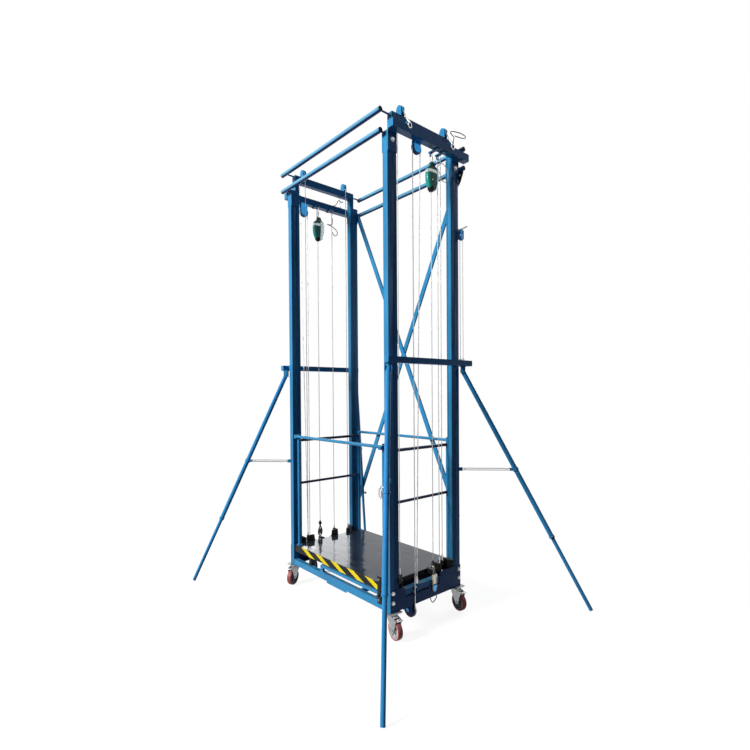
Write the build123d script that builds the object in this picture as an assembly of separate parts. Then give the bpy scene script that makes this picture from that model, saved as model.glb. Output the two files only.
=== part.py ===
from build123d import *
import math
import os

# Electric lifting platform: a two-stage post lift on castors with a guarded deck.
# Millimetres, +Z up, origin on the floor under the middle of the frame,
# X along the long side, entry side at -Y, drive end at +X.

frame_length = 1200
frame_width = 680
wheel_diameter = 125
wheel_width = 35
castor_trail = 38
post_width = 45
outer_post_depth = 40
inner_post_depth = 38
post_gap = 1
wall = 3
outer_post_top = 3190
inner_rise = 130
beam_size = 50
left_beam_drop = 53
rail_diameter = 34
rail_offset = 35
rail_height = 45
deck_rise = 168
guard_height = 875
guard_diameter = 25
mid_beam_height = 1737
mid_beam_size = 40
leg_diameter = 34
leg_hinge_offset = 20
reaches = {"a": 797, "b": 797, "c": 770, "d": 892}
stay_height = 1000
lift_rope = 6
thin_rope = 5
stay_rope = 4
base_sheave_radius = 48
top_sheave_radius = 35
ear_sheave_radius = 29
ear_inset = 54
drum_radius = 40
drum_reach = 233
fit = 0.3

base_height = wheel_diameter + 37
inner_bottom = base_height + 78
inner_top = outer_post_top + inner_rise
deck_top = base_height + deck_rise
deck_length = frame_length - 140
deck_width = frame_width - 4
leg_hinge_height = mid_beam_height - 35
half_length = frame_length / 2
half_width = frame_width / 2
post_x = half_length - post_width / 2
post_inside = half_length - post_width
inner_face = half_width - outer_post_depth - post_gap
inner_mouth = inner_face - inner_post_depth
ear_spacing = inner_mouth - ear_inset
corners = [(-1, -1), (-1, 1), (1, -1), (1, 1)]
os.makedirs("parts", exist_ok=True)


def box(x, y, z):
    """Block between the given (low, high) limits on each axis."""
    size = [high - low for low, high in (x, y, z)]
    middle = [(high + low) / 2 for low, high in (x, y, z)]
    return Pos(*middle) * Box(*size)


def rod(start, end, diameter):
    """Round bar between two points."""
    start, end = Vector(*start), Vector(*end)
    run = end - start
    return Solid.make_cylinder(diameter / 2, run.length, Plane(start, z_dir=run))


def pipe(start, end, diameter, thickness):
    """Round tube between two points, open at both ends."""
    return rod(start, end, diameter) - rod(start, end, diameter - 2 * thickness)


def to_corner(shape, side):
    """A shape made for the +X +Y corner, mirrored to the corner asked for."""
    if side[0] < 0:
        shape = mirror(shape, about=Plane.YZ)
    if side[1] < 0:
        shape = mirror(shape, about=Plane.XZ)
    return shape


def opposite(shape):
    """The same shape at the other end, half a turn about the middle."""
    return Rot(0, 0, 180) * shape


def tube(edges, diameter):
    """Round rope or rod along a chain of tangent lines and arcs."""
    path = Wire(edges)
    return sweep(Plane(path @ 0, z_dir=path % 0) * Circle(diameter / 2), path)


def sheave(radius, rope, width, bore):
    """Grooved wheel about the Z axis, rope line at the given radius."""
    wheel = Cylinder(radius + rope * 0.75, width)
    groove = Torus(radius, rope / 2 + fit)
    opening = Cylinder(radius + rope * 2, rope + 2 * fit) - Cylinder(radius, rope * 2)
    return wheel - groove - opening - Cylinder(bore / 2, width * 2)


def hex_bolt(across, height):
    """Hexagon head with a round washer under it, standing on Z = 0."""
    washer = extrude(Circle(across * 0.72), 2)
    head = Pos(0, 0, 2) * extrude(RegularPolygon(across / math.sqrt(3), 6), height)
    return washer + head


def save(name, *shapes):
    """Write one node from the solids of the given shapes."""
    solids = [solid for shape in shapes for solid in shape.solids()]
    export_step(Compound(solids), os.path.join("parts", name + ".step"))


# Outer posts: cold-rolled channels, back outwards, open towards the inner posts.
# Each carries a small fork for the leg stay on its outer corner.
def outer_post():
    channel = box((post_inside, half_length), (half_width - outer_post_depth, half_width),
                  (base_height, outer_post_top))
    hollow = box((post_inside + wall, half_length - wall),
                 (0, half_width - wall), (0, outer_post_top * 2))
    channel -= hollow
    fork = box((-6, 22), (-10, 10), (-12, 12)) - box((3, 40), (-6, 6), (-20, 20))
    fork += rod((stay_pin, -10, 0), (stay_pin, 10, 0), 8)
    fork = Pos(half_length, half_width, stay_height) * Rot(0, 0, 45) * fork
    return channel + fork - hollow


stay_pin = 14
save("outer_posts", *[to_corner(outer_post(), side) for side in corners])

# Inner posts: closed tubes beside the outer channels, with a black slide shoe
# at each foot that runs inside the channel.
post_play = 0.5
inner_x = (post_inside + post_play, half_length - post_play)


def inner_post():
    outside = box(inner_x, (inner_mouth, inner_face), (inner_bottom, inner_top))
    inside = box((inner_x[0] + wall, inner_x[1] - wall),
                 (inner_mouth + wall, inner_face - wall), (0, inner_top * 2))
    return outside - inside


stage_shoe = box((post_inside + wall + fit, half_length - wall - fit),
                 (inner_face, half_width - wall - fit), (inner_bottom + 10, inner_bottom + 90))
save("inner_posts", *[to_corner(inner_post(), side) for side in corners])
save("stage_shoes", *[to_corner(stage_shoe, side) for side in corners])

# Rope planes. The drive end has its rope towards the entry side, the far end
# is set a little further forward so both ropes fit side by side on one drum.
lift_x = half_length + 11
rope_inset = 78
rope_pair = 22
right_rope_y = rope_inset - ear_spacing
left_rope_y = right_rope_y - rope_pair
right_fall_y = right_rope_y + 2 * top_sheave_radius
left_fall_y = left_rope_y - 2 * top_sheave_radius
anchor_shift = 53
base_sheave_x = lift_x - base_sheave_radius
base_sheave_z = base_height - 42
right_beam = outer_post_top
left_beam = outer_post_top - left_beam_drop
arm_depth = 8
arrester_x = post_x + 1.5
right_safety_y = ear_spacing - 62
right_arrester_y = right_safety_y - 65
left_arrester_y = left_rope_y + 83
left_safety_y = left_arrester_y + 146
ear_x = post_x + 2
anchor_x = ear_x + ear_sheave_radius
eye_height = 12

# Top beams of the outer frame: square tubes standing off the posts, with the
# hangers for the lift sheave, the rope eyes and the fall arresters welded on.
beam_in = half_length + 6
beam_out = beam_in + beam_size
pin_x = beam_out - 6
top_sheave_drop = top_sheave_radius + 10
hook_length = 31


def top_beam(bottom, rope_y, fall_y, hangers, drop, overhang):
    """Beam at the +X end; the other end is the same thing turned round."""
    ends = (-half_width, half_width + overhang)
    beam = box((beam_in, beam_out), ends, (bottom, bottom + beam_size))
    beam -= box((beam_in + wall, beam_out - wall), (-2000, 2000),
                (bottom + wall, bottom + beam_size - wall))
    middle = (rope_y + fall_y) / 2
    half = top_sheave_radius - 5
    beam += box((lift_x - 13, beam_out - 6), (middle - half, middle + half), (bottom - 4, bottom))
    for offset in (-11, 11):
        cheek = Rectangle(2 * half, drop) + Pos(0, -drop / 2) * Circle(half)
        cheek = Plane((lift_x + offset - 2, middle, bottom - drop / 2),
                      x_dir=(0, 1, 0), z_dir=(1, 0, 0)) * cheek
        beam += extrude(cheek, 4)
    centre = bottom - drop
    beam += rod((lift_x - 15, middle, centre), (lift_x + 15, middle, centre), 12)
    for y in hangers:
        arm = box((arrester_x - 14, beam_out - 6), (y - 12, y + 12), (bottom - arm_depth, bottom))
        lug = box((arrester_x - 3, arrester_x + 3), (y - 12, y + 12),
                  (bottom - arm_depth - 24, bottom - arm_depth))
        lug -= rod((0, y, bottom - arm_depth - 12), (2000, y, bottom - arm_depth - 12), 14)
        beam += arm + lug
    for y in (-ear_spacing, ear_spacing):
        for edge in (-9, 5):
            beam += box((pin_x - 15, pin_x + 6), (y + edge, y + edge + 4),
                        (bottom + beam_size - 1, bottom + beam_size + eye_height + 10))
        pin_z = bottom + beam_size + eye_height
        beam += rod((pin_x, y - 11, pin_z), (pin_x, y + 11, pin_z), 8)
    return beam


save("outer_beams",
     top_beam(right_beam, right_rope_y, right_fall_y, (right_arrester_y, right_safety_y),
              top_sheave_drop, 52),
     opposite(top_beam(left_beam, -left_rope_y, -left_fall_y, (-left_arrester_y, -left_safety_y),
                       top_sheave_drop + hook_length, 0)))

# Bracket plates: each clasps the pair of posts at a corner, carries the top
# beam on its outer face and guides the inner post on both sides.
plate = 6
bracket_low = outer_post_top - 130
for_beam = (half_length, half_length + plate)
for_guide = (post_inside - plate, post_inside)
brackets = []
for side in corners:
    top = right_beam + beam_size if side[0] > 0 else outer_post_top
    y = (inner_mouth + 2, half_width)
    brackets.append(to_corner(box(for_beam, y, (bracket_low, top)), side))
    brackets.append(to_corner(box(for_guide, y, (bracket_low, outer_post_top)), side))
save("beam_brackets", *brackets)

# Base: two side rails between the posts, the front one with a small tab below.
base_top = base_height + rail_height


def side_rail():
    rail = box((-post_inside, post_inside), (half_width - outer_post_depth, half_width),
               (base_height, base_top))
    return rail - box((-2000, 2000), (half_width - outer_post_depth + wall, half_width - wall),
                      (base_height + wall, base_top - wall))


tab_start = 460
tab_end = 415
tab = box((tab_start - post_inside, post_inside - tab_end), (-half_width, -half_width + 6),
          (base_height - 13, base_height))
front_rail = to_corner(side_rail(), (1, -1)) + tab
save("base_rails", front_rail, side_rail())

# Entry step: a slotted plate on edge along the front rail, right of the middle.
step_inset = 377
step_low = step_inset - post_inside
step_top = base_top + 61
step = Pos((step_low + post_inside) / 2, 0) * RectangleRounded(post_inside - step_low,
                                                              2 * (step_top - base_top), 14)
step &= Pos(0, (step_top - base_top) / 2) * Rectangle(2000, step_top - base_top)
slot = Pos((step_low + post_inside) / 2, 23) * SlotOverall(post_inside - step_low - 60, 34)
step_face = Plane((0, -half_width + 20, base_top), x_dir=(1, 0, 0), z_dir=(0, -1, 0))
save("entry_step", extrude(step_face * (step - slot), 20))

# Base ends: folded plates on the outside of the posts, low in the middle and
# raised at both corners, with the fork for the lower lift sheave inside.
end_plate = 5
end_low = base_height + 70
end_high = base_height + 153
end_shoulder = base_height + 138
right_slope = half_width - 227
left_slope = half_width - 128
fork_inside = 10
fork_low = base_sheave_z - 18
fork_high = base_sheave_z + base_sheave_radius + lift_rope + 4


def base_end(rope_y, raised_y):
    outline = Polyline((-half_width, base_height), (half_width, base_height),
                       (half_width, end_high), (raised_y + 22, end_high), (raised_y, end_low),
                       (-half_width + 136, end_low), (-half_width + 118, end_shoulder),
                       (-half_width, end_shoulder), close=True)
    face = Plane((half_length, 0, 0), x_dir=(0, 1, 0), z_dir=(1, 0, 0)) * make_face(outline)
    end = extrude(face, end_plate)
    end += box((post_inside + 5, half_length), (-half_width + outer_post_depth,
               half_width - outer_post_depth), (base_height, base_height + 5))
    end -= box((0, 2000), (rope_y - fork_inside, rope_y + fork_inside), (0, fork_high))
    for edge in (-fork_inside - 5, fork_inside):
        end += box((base_sheave_x - 22, half_length), (rope_y + edge, rope_y + edge + 5),
                   (fork_low, fork_high + 10))
    end += rod((base_sheave_x, rope_y - fork_inside - 7, base_sheave_z),
               (base_sheave_x, rope_y + fork_inside + 7, base_sheave_z), 12)
    return end


save("base_ends", base_end(right_rope_y, right_slope), opposite(base_end(-left_rope_y, left_slope)))

# Cross brace behind the posts: two flat bars, the second on spacer pads.
brace_width = 36
brace_depth = 12
brace_foot = base_height + 443


def brace(low, high, gap):
    """Bar between two (x, z) points, standing off the posts by the gap."""
    rise = math.degrees(math.atan2(high[1] - low[1], high[0] - low[0]))
    length = math.dist(low, high)
    middle = ((low[0] + high[0]) / 2, (low[1] + high[1]) / 2)
    y = half_width + gap
    bar = Pos(middle[0], y + brace_depth / 2, middle[1]) * Rot(0, -rise, 0) * Box(
        length, brace_depth, brace_width)
    for point in (low, high):
        if gap:
            bar += box((point[0] - 16, point[0] + 16), (half_width, y + 1),
                       (point[1] - 16, point[1] + 16))
    return bar


save("cross_braces",
     brace((post_x, brace_foot + 45), (-post_x + 17, outer_post_top - 42), 0),
     brace((-post_x, brace_foot), (post_x, outer_post_top - 129), brace_depth))

# Top rails: the lower pair belongs to the outer frame, the upper pair to the
# inner one. Both stand in front of and behind the posts.
rail_y = half_width + rail_offset
back_lower_z = outer_post_top - 37
back_upper_z = inner_top - 33
front_lower_z = outer_post_top - 8
front_upper_z = inner_top - 8
rail_wall = 3


def top_rail(z, ends, stubs, root_y):
    """Rail behind the posts, on stubs that start at the given face."""
    rail = pipe((ends[0], rail_y, z), (ends[1], rail_y, z), rail_diameter, rail_wall)
    for x in stubs:
        rail += rod((x, root_y, z), (x, rail_y - rail_diameter / 2 + 1, z), 12)
    return rail


rail_end = half_length + 25
stub_ends = (-post_x + 12, post_x)
save("lower_rails",
     top_rail(back_lower_z, (-half_length, rail_end), (-half_length + 10, half_length - 14), half_width),
     opposite(top_rail(front_lower_z, (-post_x, rail_end), stub_ends, half_width)))
save("upper_rails",
     top_rail(back_upper_z, (-post_x, rail_end), stub_ends, inner_face),
     opposite(top_rail(front_upper_z, (-post_x, rail_end), stub_ends, inner_face)))

# Mid beams: square tubes on spacers outside each end, with the forked brackets
# that the legs hang from.
mid_in = half_length + 16
leg_hinge = (half_length + leg_hinge_offset, half_width + leg_hinge_offset)


def leg_bracket():
    """Fork for one leg at the +X +Y corner, its pin across the diagonal."""
    half = leg_diameter / 2 + 1
    fork = box((-20, 20), (-half - 5, half + 5), (30, 35))
    for edge in (-half - 5, half):
        fork += box((-15, 15), (edge, edge + 5), (-16, 35))
    fork += rod((0, -half - 8, 0), (0, half + 8, 0), 12)
    return Pos(*leg_hinge, leg_hinge_height) * Rot(0, 0, 45) * fork


def mid_beam(overhang):
    ends = (-half_width - 50, half_width + overhang)
    z = (mid_beam_height, mid_beam_height + mid_beam_size)
    beam = box((mid_in, mid_in + mid_beam_size), ends, z)
    beam -= box((mid_in + wall, mid_in + mid_beam_size - wall), (-2000, 2000),
                (z[0] + wall, z[1] - wall))
    spacer = box((half_length, mid_in), (half_width - 38, half_width - 2), z)
    front = (1, -1)
    return Compound([beam, spacer, to_corner(spacer, front),
                     leg_bracket(), to_corner(leg_bracket(), front)])


save("mid_beams", mid_beam(80), opposite(mid_beam(45)))

# Legs: an outer tube hung in the fork, with a collar and a pin for the stay,
# and a thinner tube that slides in it and stands on the floor.
leg_wall = 2.7
foot_diameter = leg_diameter - 7
foot_overlap = 260
tube_share = 0.70
stay_lug = 33


def leg_frame(reach):
    """Length and lean of a leg whose foot stands the given reach out."""
    lean = math.atan2(reach, leg_hinge_height)
    drop = leg_hinge_height - foot_diameter / 2 * math.sin(lean) - 0.4
    return drop / math.cos(lean), lean


def place_leg(shape, lean, side):
    """From along +X out of the hinge to hanging at a corner."""
    turn = math.degrees(math.atan2(side[1], side[0]))
    hang = Rot(0, 90 - math.degrees(lean), 0) * shape
    return Pos(side[0] * leg_hinge[0], side[1] * leg_hinge[1], leg_hinge_height) * Rot(
        0, 0, turn) * hang


def leg_tube(reach):
    length, lean = leg_frame(reach)
    end = length * tube_share
    leg = pipe((-14, 0, 0), (end, 0, 0), leg_diameter, leg_wall)
    leg -= rod((0, -40, 0), (0, 40, 0), 12.2)
    along = (leg_hinge_height - stay_height) / math.cos(lean)
    collar = rod((along - 9, 0, 0), (along + 9, 0, 0), leg_diameter + 8)
    lean_deg = math.degrees(lean)
    fork = box((-stay_lug - 6, -17), (-9, 9), (-10, 10)) - box((-60, -24), (-5, 5), (-20, 20))
    fork += rod((-stay_lug, -9, 0), (-stay_lug, 9, 0), 8)
    fork = Pos(along, 0, 0) * Rot(0, lean_deg - 90, 0) * fork
    ring = rod((end - 14, 0, 0), (end, 0, 0), leg_diameter + 6)
    bore = rod((-100, 0, 0), (end + 1, 0, 0), leg_diameter - 2 * leg_wall)
    return leg + (collar + fork + ring - bore)


def leg_foot(reach):
    length, lean = leg_frame(reach)
    return pipe((length * tube_share - foot_overlap, 0, 0), (length, 0, 0), foot_diameter, 2.5)


stays = []
for (name, reach), side in zip(reaches.items(), corners):
    length, lean = leg_frame(reach)
    save("leg_tube_" + name, place_leg(leg_tube(reach), lean, side))
    save("leg_foot_" + name, place_leg(leg_foot(reach), lean, side))
    far = math.tan(lean) * (leg_hinge_height - stay_height)
    far += leg_hinge_offset * math.sqrt(2) - stay_lug
    loop = stay_rope / 2 + 4 + fit
    lower = Edge.make_line((stay_pin, 0, -loop), (far, 0, -loop))
    outer = Edge.make_three_point_arc((far, 0, -loop), (far + loop, 0, 0), (far, 0, loop))
    upper = Edge.make_line((far, 0, loop), (stay_pin, 0, loop))
    inner = Edge.make_three_point_arc((stay_pin, 0, loop), (stay_pin - loop, 0, 0),
                                      (stay_pin, 0, -loop))
    turn = math.degrees(math.atan2(side[1], side[0]))
    stays.append(Pos(side[0] * half_length, side[1] * half_width, stay_height)
                 * Rot(0, 0, turn) * tube([lower, outer, upper, inner], stay_rope))
save("stay_ropes", *stays)

# Castors: a bolted plate, a swivelling fork on a bearing disc, the wheel, and a
# brake pedal on a cross pin behind the wheel.
castor_x = half_length - 15
castor_y = half_width - 30
castor_plate = 6
fork_top = base_height - castor_plate - fit
axle_height = wheel_diameter / 2
fork_gap = wheel_width / 2 + 3
pedal_pin = (castor_trail + 26, fork_top - 24.7)
castor_base = box((castor_x - 42, castor_x + 42), (castor_y - 52, castor_y + 52),
                  (base_height - castor_plate, base_height))
save("castor_plates", *[to_corner(castor_base, side) for side in corners])


def castor_fork():
    disc = Pos(0, 0, fork_top - 5) * Cylinder(32, 10)
    crown = box((-26, 34), (-fork_gap - 4, fork_gap + 4), (fork_top - 13, fork_top - 9))
    cheek = Polyline((-26, fork_top - 9), (34, fork_top - 9),
                     (castor_trail + 36, fork_top - 18), (castor_trail + 36, fork_top - 32),
                     (castor_trail + 15, axle_height - 4), (castor_trail + 6, axle_height - 13),
                     (castor_trail - 6, axle_height - 13), (castor_trail - 15, axle_height - 4),
                     (-26, fork_top - 24), close=True)
    fork = disc + crown
    for y in (-fork_gap, fork_gap + 4):
        fork += extrude(Plane((0, y, 0), x_dir=(1, 0, 0), z_dir=(0, -1, 0)) * make_face(cheek), 4)
    fork += rod((castor_trail, -fork_gap - 9, axle_height),
                (castor_trail, fork_gap + 9, axle_height), 12)
    fork += rod((pedal_pin[0], -fork_gap - 3, pedal_pin[1]),
                (pedal_pin[0], fork_gap + 3, pedal_pin[1]), 6)
    return fork


def castor_wheel():
    tyre = fillet(Cylinder(wheel_diameter / 2, wheel_width).edges(), 6)
    for z in (-1, 1):
        ring = Cylinder(wheel_diameter / 2 - 18.5, 6) - Cylinder(20, 8)
        tyre -= Pos(0, 0, z * wheel_width / 2) * ring
    tyre -= Cylinder(6.1, wheel_width * 2)
    return Pos(castor_trail, 0, axle_height) * Rot(90, 0, 0) * tyre


def brake_pedal():
    half = fork_gap - 2.5
    arm = Pos(0, 0, 1) * box((0, 52), (-half + 1, half - 1), (-2, 2))
    arm += rod((0, -half, 0), (0, half, 0), 11)
    arm -= rod((0, -30, 0), (0, 30, 0), 6.2)
    return Pos(pedal_pin[0], 0, pedal_pin[1]) * Rot(0, -18, 0) * arm


headings = {"a": -65, "b": 115, "c": -10, "d": -10}
for (name, heading), side in zip(headings.items(), corners):
    spot = Pos(side[0] * castor_x, side[1] * castor_y, 0) * Rot(0, 0, heading)
    save("castor_fork_" + name, spot * castor_fork())
    save("castor_wheel_" + name, spot * castor_wheel())
    save("brake_pedal_" + name, spot * brake_pedal())

# Zinc bolts: two through each raised corner of the base ends, one through each
# bracket plate at the top.
bolts = []
for side in corners:
    for z in (base_height + 62, base_height + 123):
        head = Pos(half_length + end_plate, half_width - 20, z) * Rot(0, 90, 0) * hex_bolt(17, 8)
        bolts.append(to_corner(head, side))
    z = (right_beam if side[0] > 0 else left_beam) - 55
    head = Pos(half_length + plate, half_width - 38, z) * Rot(0, 90, 0) * hex_bolt(19, 9)
    bolts.append(to_corner(head, side))
save("frame_bolts", *bolts)

# Winch under the deck: a welded frame on two cross bars, a geared motor, and a
# drum that takes both lift ropes, one off its bottom and one off its top.
drum_x = base_sheave_x - drum_reach
drum_z = base_height + 60
drum_ends = (left_rope_y - 54, right_rope_y + 54)
drum_pitch = lift_rope + 4
drum_turns = 3
divider = (right_rope_y + left_rope_y) / 2
rope_line = drum_radius + fit + lift_rope / 2
bar_x = 68
gearbox_start = drum_ends[1] + 9
motor_start = gearbox_start + 62
motor_end = motor_start + 194
cover_end = motor_end + 32


def winch_frame():
    frame = None
    inside = half_width - outer_post_depth
    for x in (drum_x - bar_x - 22, drum_x + bar_x):
        bar = box((x, x + 22), (-inside, inside), (base_height + 10, base_height + 38))
        frame = bar if frame is None else frame + bar
    for y in (drum_ends[0] - 9, drum_ends[1] + 3):
        frame += box((drum_x - bar_x - 10, drum_x + bar_x + 10), (y, y + 6),
                     (base_height + 10, drum_z + 34))
    saddle = box((drum_x - bar_x - 10, drum_x + bar_x + 10), (motor_end - 80, motor_end - 74),
                 (base_height + 10, drum_z - 20))
    saddle -= rod((drum_x, motor_start, drum_z), (drum_x, cover_end, drum_z), 100.6)
    frame += saddle
    return frame - rod((drum_x, -inside, drum_z), (drum_x, motor_start, drum_z), 24.2)


def winch_motor():
    gearbox = box((drum_x - 50, drum_x + 50), (gearbox_start, motor_start),
                  (drum_z - 48, drum_z + 48))
    gearbox = fillet(gearbox.edges().filter_by(Axis.Y), 14)
    motor = rod((drum_x, motor_start, drum_z), (drum_x, motor_end, drum_z), 100)
    cover = rod((drum_x, motor_end, drum_z), (drum_x, cover_end, drum_z), 92)
    boxed = (motor_start + 24, motor_start + 99)
    terminal = box((drum_x - 90, drum_x - 35), boxed, (drum_z - 20, drum_z + 30))
    gland = rod((drum_x - 62, boxed[1], drum_z), (drum_x - 62, boxed[1] + 17, drum_z), 20)
    socket = rod((drum_x, gearbox_start - 1, drum_z), (drum_x, gearbox_start + 14, drum_z), 24.2)
    return gearbox + motor + cover + terminal + gland - socket


def rope_drum():
    shaft = rod((drum_x, drum_ends[0] - 14, drum_z), (drum_x, drum_ends[1] + 20, drum_z), 24)
    drum = shaft + rod((drum_x, drum_ends[0], drum_z), (drum_x, drum_ends[1], drum_z),
                       2 * drum_radius)
    for y, depth in ((drum_ends[0], 5), (divider - 1.5, 3), (drum_ends[1] - 5, 5)):
        drum += rod((drum_x, y, drum_z), (drum_x, y + depth, drum_z), 2 * drum_radius + 22)
    return drum


save("winch_frame", winch_frame())
save("winch_motor", winch_motor())
save("rope_drum", rope_drum())

# Sheaves: two under the base ends, two under the top beams, two pairs on the
# inner top beams.
base_wheel = Rot(90, 0, 0) * sheave(base_sheave_radius, lift_rope, 16, 12.1)
save("base_sheave_right", Pos(base_sheave_x, right_rope_y, base_sheave_z) * base_wheel)
save("base_sheave_left", Pos(-base_sheave_x, left_rope_y, base_sheave_z) * base_wheel)
top_wheel = Rot(0, 90, 0) * sheave(top_sheave_radius, lift_rope, 16, 12.1)
right_top = Vector(lift_x, (right_rope_y + right_fall_y) / 2, right_beam - top_sheave_drop)
left_top = Vector(-lift_x, (left_rope_y + left_fall_y) / 2,
                  left_beam - top_sheave_drop - hook_length)
save("top_sheave_right", Pos(right_top) * top_wheel)
save("top_sheave_left", Pos(left_top) * top_wheel)
ear_wheel = Rot(90, 0, 0) * sheave(ear_sheave_radius, thin_rope, 14, 12.1)
ear_z = inner_top + ear_sheave_radius + thin_rope + 2
for name, end in (("left", -1), ("right", 1)):
    pair = [Pos(end * ear_x, y, ear_z) * ear_wheel for y in (-ear_spacing, ear_spacing)]
    save("ear_sheaves_" + name, *pair)

# Inner beams: one across the top and one across the foot of each end frame;
# the foot beam has the lug that the lift rope pulls on.
lug_top = inner_bottom + 60
top_beam_depth = 55


def inner_beam(low, high):
    beam = box(inner_x, (-inner_mouth, inner_mouth), (low, high))
    return beam - box((inner_x[0] + wall, inner_x[1] - wall), (-2000, 2000),
                      (low + wall, high - wall))


def foot_beam(lug_y):
    lug = box((inner_x[1] - 1, lift_x + 8), (lug_y - 8, lug_y + 8), (inner_bottom + 8, lug_top))
    lug = lug - box((0, inner_x[1]), (-500, 500), (0, inner_bottom + 40))
    return inner_beam(inner_bottom, inner_bottom + 40) + lug


right_lug_y = right_fall_y - anchor_shift
left_lug_y = left_fall_y + anchor_shift
head_beam = inner_beam(inner_top - top_beam_depth, inner_top)
save("inner_beams", head_beam, opposite(head_beam),
     foot_beam(right_lug_y), opposite(foot_beam(-left_lug_y)))


def ear():
    """Two rounded cheeks and a pin on top of an inner beam, about Y = 0."""
    high = ear_z + 2
    half = ear_sheave_radius - 5
    cheek = Pos(ear_x, (inner_top + high) / 2) * Rectangle(2 * half, high - inner_top)
    cheek += Pos(ear_x, high) * Ellipse(half, ear_sheave_radius + 3)
    shape = rod((ear_x, -17, ear_z), (ear_x, 17, ear_z), 12)
    for y in (-9, 15):
        shape += extrude(Plane((0, y, 0), x_dir=(1, 0, 0), z_dir=(0, -1, 0)) * (
            cheek & Pos(ear_x, inner_top + 250) * Rectangle(500, 500)), 6)
    return shape


save("ear_brackets", *[Pos(0, y, 0) * turn * ear() for y in (-ear_spacing, ear_spacing)
                       for turn in (Rot(0, 0, 0), Rot(0, 0, 180))])

# Lift ropes: wound on the drum, under the base sheave, up the outside of the
# end frame and over the top sheave.
sheave_right = (base_sheave_x, base_sheave_z)
sheave_left = (-base_sheave_x, base_sheave_z)


def tangent(start, start_radius, end, end_radius):
    """Contact points of a line with both centres at the signed heights above it."""
    run = math.dist(start, end)
    slope = math.atan2(end[1] - start[1], end[0] - start[0])
    slope -= math.asin((end_radius - start_radius) / run)
    up = (-math.sin(slope), math.cos(slope))
    first = (start[0] - start_radius * up[0], start[1] - start_radius * up[1])
    last = (end[0] - end_radius * up[0], end[1] - end_radius * up[1])
    return first, last


def arc(centre, radius, angles, y):
    """Arc in the X-Z plane between two angles in degrees, at a Y position."""
    mid = sum(angles) / 2
    points = []
    for angle in (angles[0], mid, angles[1]):
        turn = math.radians(angle)
        points.append((centre[0] + radius * math.cos(turn), y, centre[1] + radius * math.sin(turn)))
    return Edge.make_three_point_arc(*points)


def turned_from(centre, point):
    """Angle of a point round a centre, in degrees."""
    return math.degrees(math.atan2(point[1] - centre[1], point[0] - centre[0]))


def winding(first_angle, last_angle, y_end, step):
    """Half turns that climb along the drum, then a plain arc up to the last angle."""
    edges = []
    halves = 2 * drum_turns + 1
    y = y_end - halves * step / 2
    angle = first_angle
    for half in range(halves):
        points = []
        for share in (0, 0.5, 1):
            turn = math.radians(angle + 180 * share)
            points.append((drum_x + rope_line * math.cos(turn), y + step / 2 * share,
                           drum_z + rope_line * math.sin(turn)))
        edges.append(Edge.make_three_point_arc(*points))
        y += step / 2
        angle += 180
    edges.append(arc((drum_x, drum_z), rope_line, (angle % 360, last_angle), y_end))
    return edges


def self_gap(edges, diameter):
    """Least clear space between turns that lie over half a turn apart."""
    points = [edge @ (share / 24) for edge in edges for share in range(24)]
    lengths = [edge.length / 24 for edge in edges for share in range(24)]
    along = [sum(lengths[:count]) for count in range(len(lengths))]
    least = 1000
    for one in range(len(points)):
        for two in range(one + 1, len(points)):
            if along[two] - along[one] > math.pi * rope_line:
                least = min(least, (points[one] - points[two]).length)
    return least - diameter


right_off, right_on = tangent((drum_x, drum_z), rope_line, sheave_right, base_sheave_radius)
left_on, left_off = tangent(sheave_left, base_sheave_radius, (drum_x, drum_z), -rope_line)
right_wound = winding(0, turned_from((drum_x, drum_z), right_off) % 360, right_rope_y, -drum_pitch)
left_wound = winding(180, turned_from((drum_x, drum_z), left_off) % 360, left_rope_y, drum_pitch)
for name, wound in (("right", right_wound), ("left", left_wound)):
    print("winding", name, "least gap between turns", round(self_gap(wound, lift_rope), 2))


def toward(start, end, share_mm):
    """Point the given distance along a line."""
    share = share_mm / math.dist(start, end)
    return tuple(a + (b - a) * share for a, b in zip(start, end))


def in_plane(point, y):
    return (point[0], y, point[1])


def lift_line(off, on, centre, side, rope_y, fall_y, sheave_z):
    """Rope from just off the drum to the far side of the top sheave."""
    start = in_plane(toward(off, on, lift_rope + fit), rope_y)
    level = in_plane(on, rope_y)
    low = (side * lift_x, rope_y, centre[1])
    high = (side * lift_x, rope_y, sheave_z)
    crest = (side * lift_x, (rope_y + fall_y) / 2, sheave_z + top_sheave_radius)
    last = (side * lift_x, fall_y, sheave_z)
    first_angle = turned_from(centre, on)
    last_angle = 0 if side > 0 else -180
    return tube([Edge.make_line(start, level),
                 arc(centre, base_sheave_radius, (first_angle, last_angle), rope_y),
                 Edge.make_line(low, high),
                 Edge.make_three_point_arc(high, crest, last)], lift_rope)


right_tail = Edge.make_line(in_plane(right_off, right_rope_y),
                            in_plane(toward(right_off, right_on, lift_rope), right_rope_y))
left_tail = Edge.make_line(in_plane(left_off, left_rope_y),
                           in_plane(toward(left_off, left_on, lift_rope), left_rope_y))
save("drum_rope", tube(right_wound + [right_tail], lift_rope),
     tube(left_wound + [left_tail], lift_rope))
save("lift_ropes",
     lift_line(right_off, right_on, sheave_right, 1, right_rope_y, right_fall_y, right_top.Z),
     lift_line(left_off, left_on, sheave_left, -1, left_rope_y, left_fall_y, left_top.Z))
save("lift_falls",
     rod((lift_x, right_fall_y, right_top.Z - fit), (lift_x, right_lug_y, lug_top + fit), lift_rope),
     rod((-lift_x, left_fall_y, left_top.Z - fit), (-lift_x, left_lug_y, lug_top + fit), lift_rope))

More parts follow.
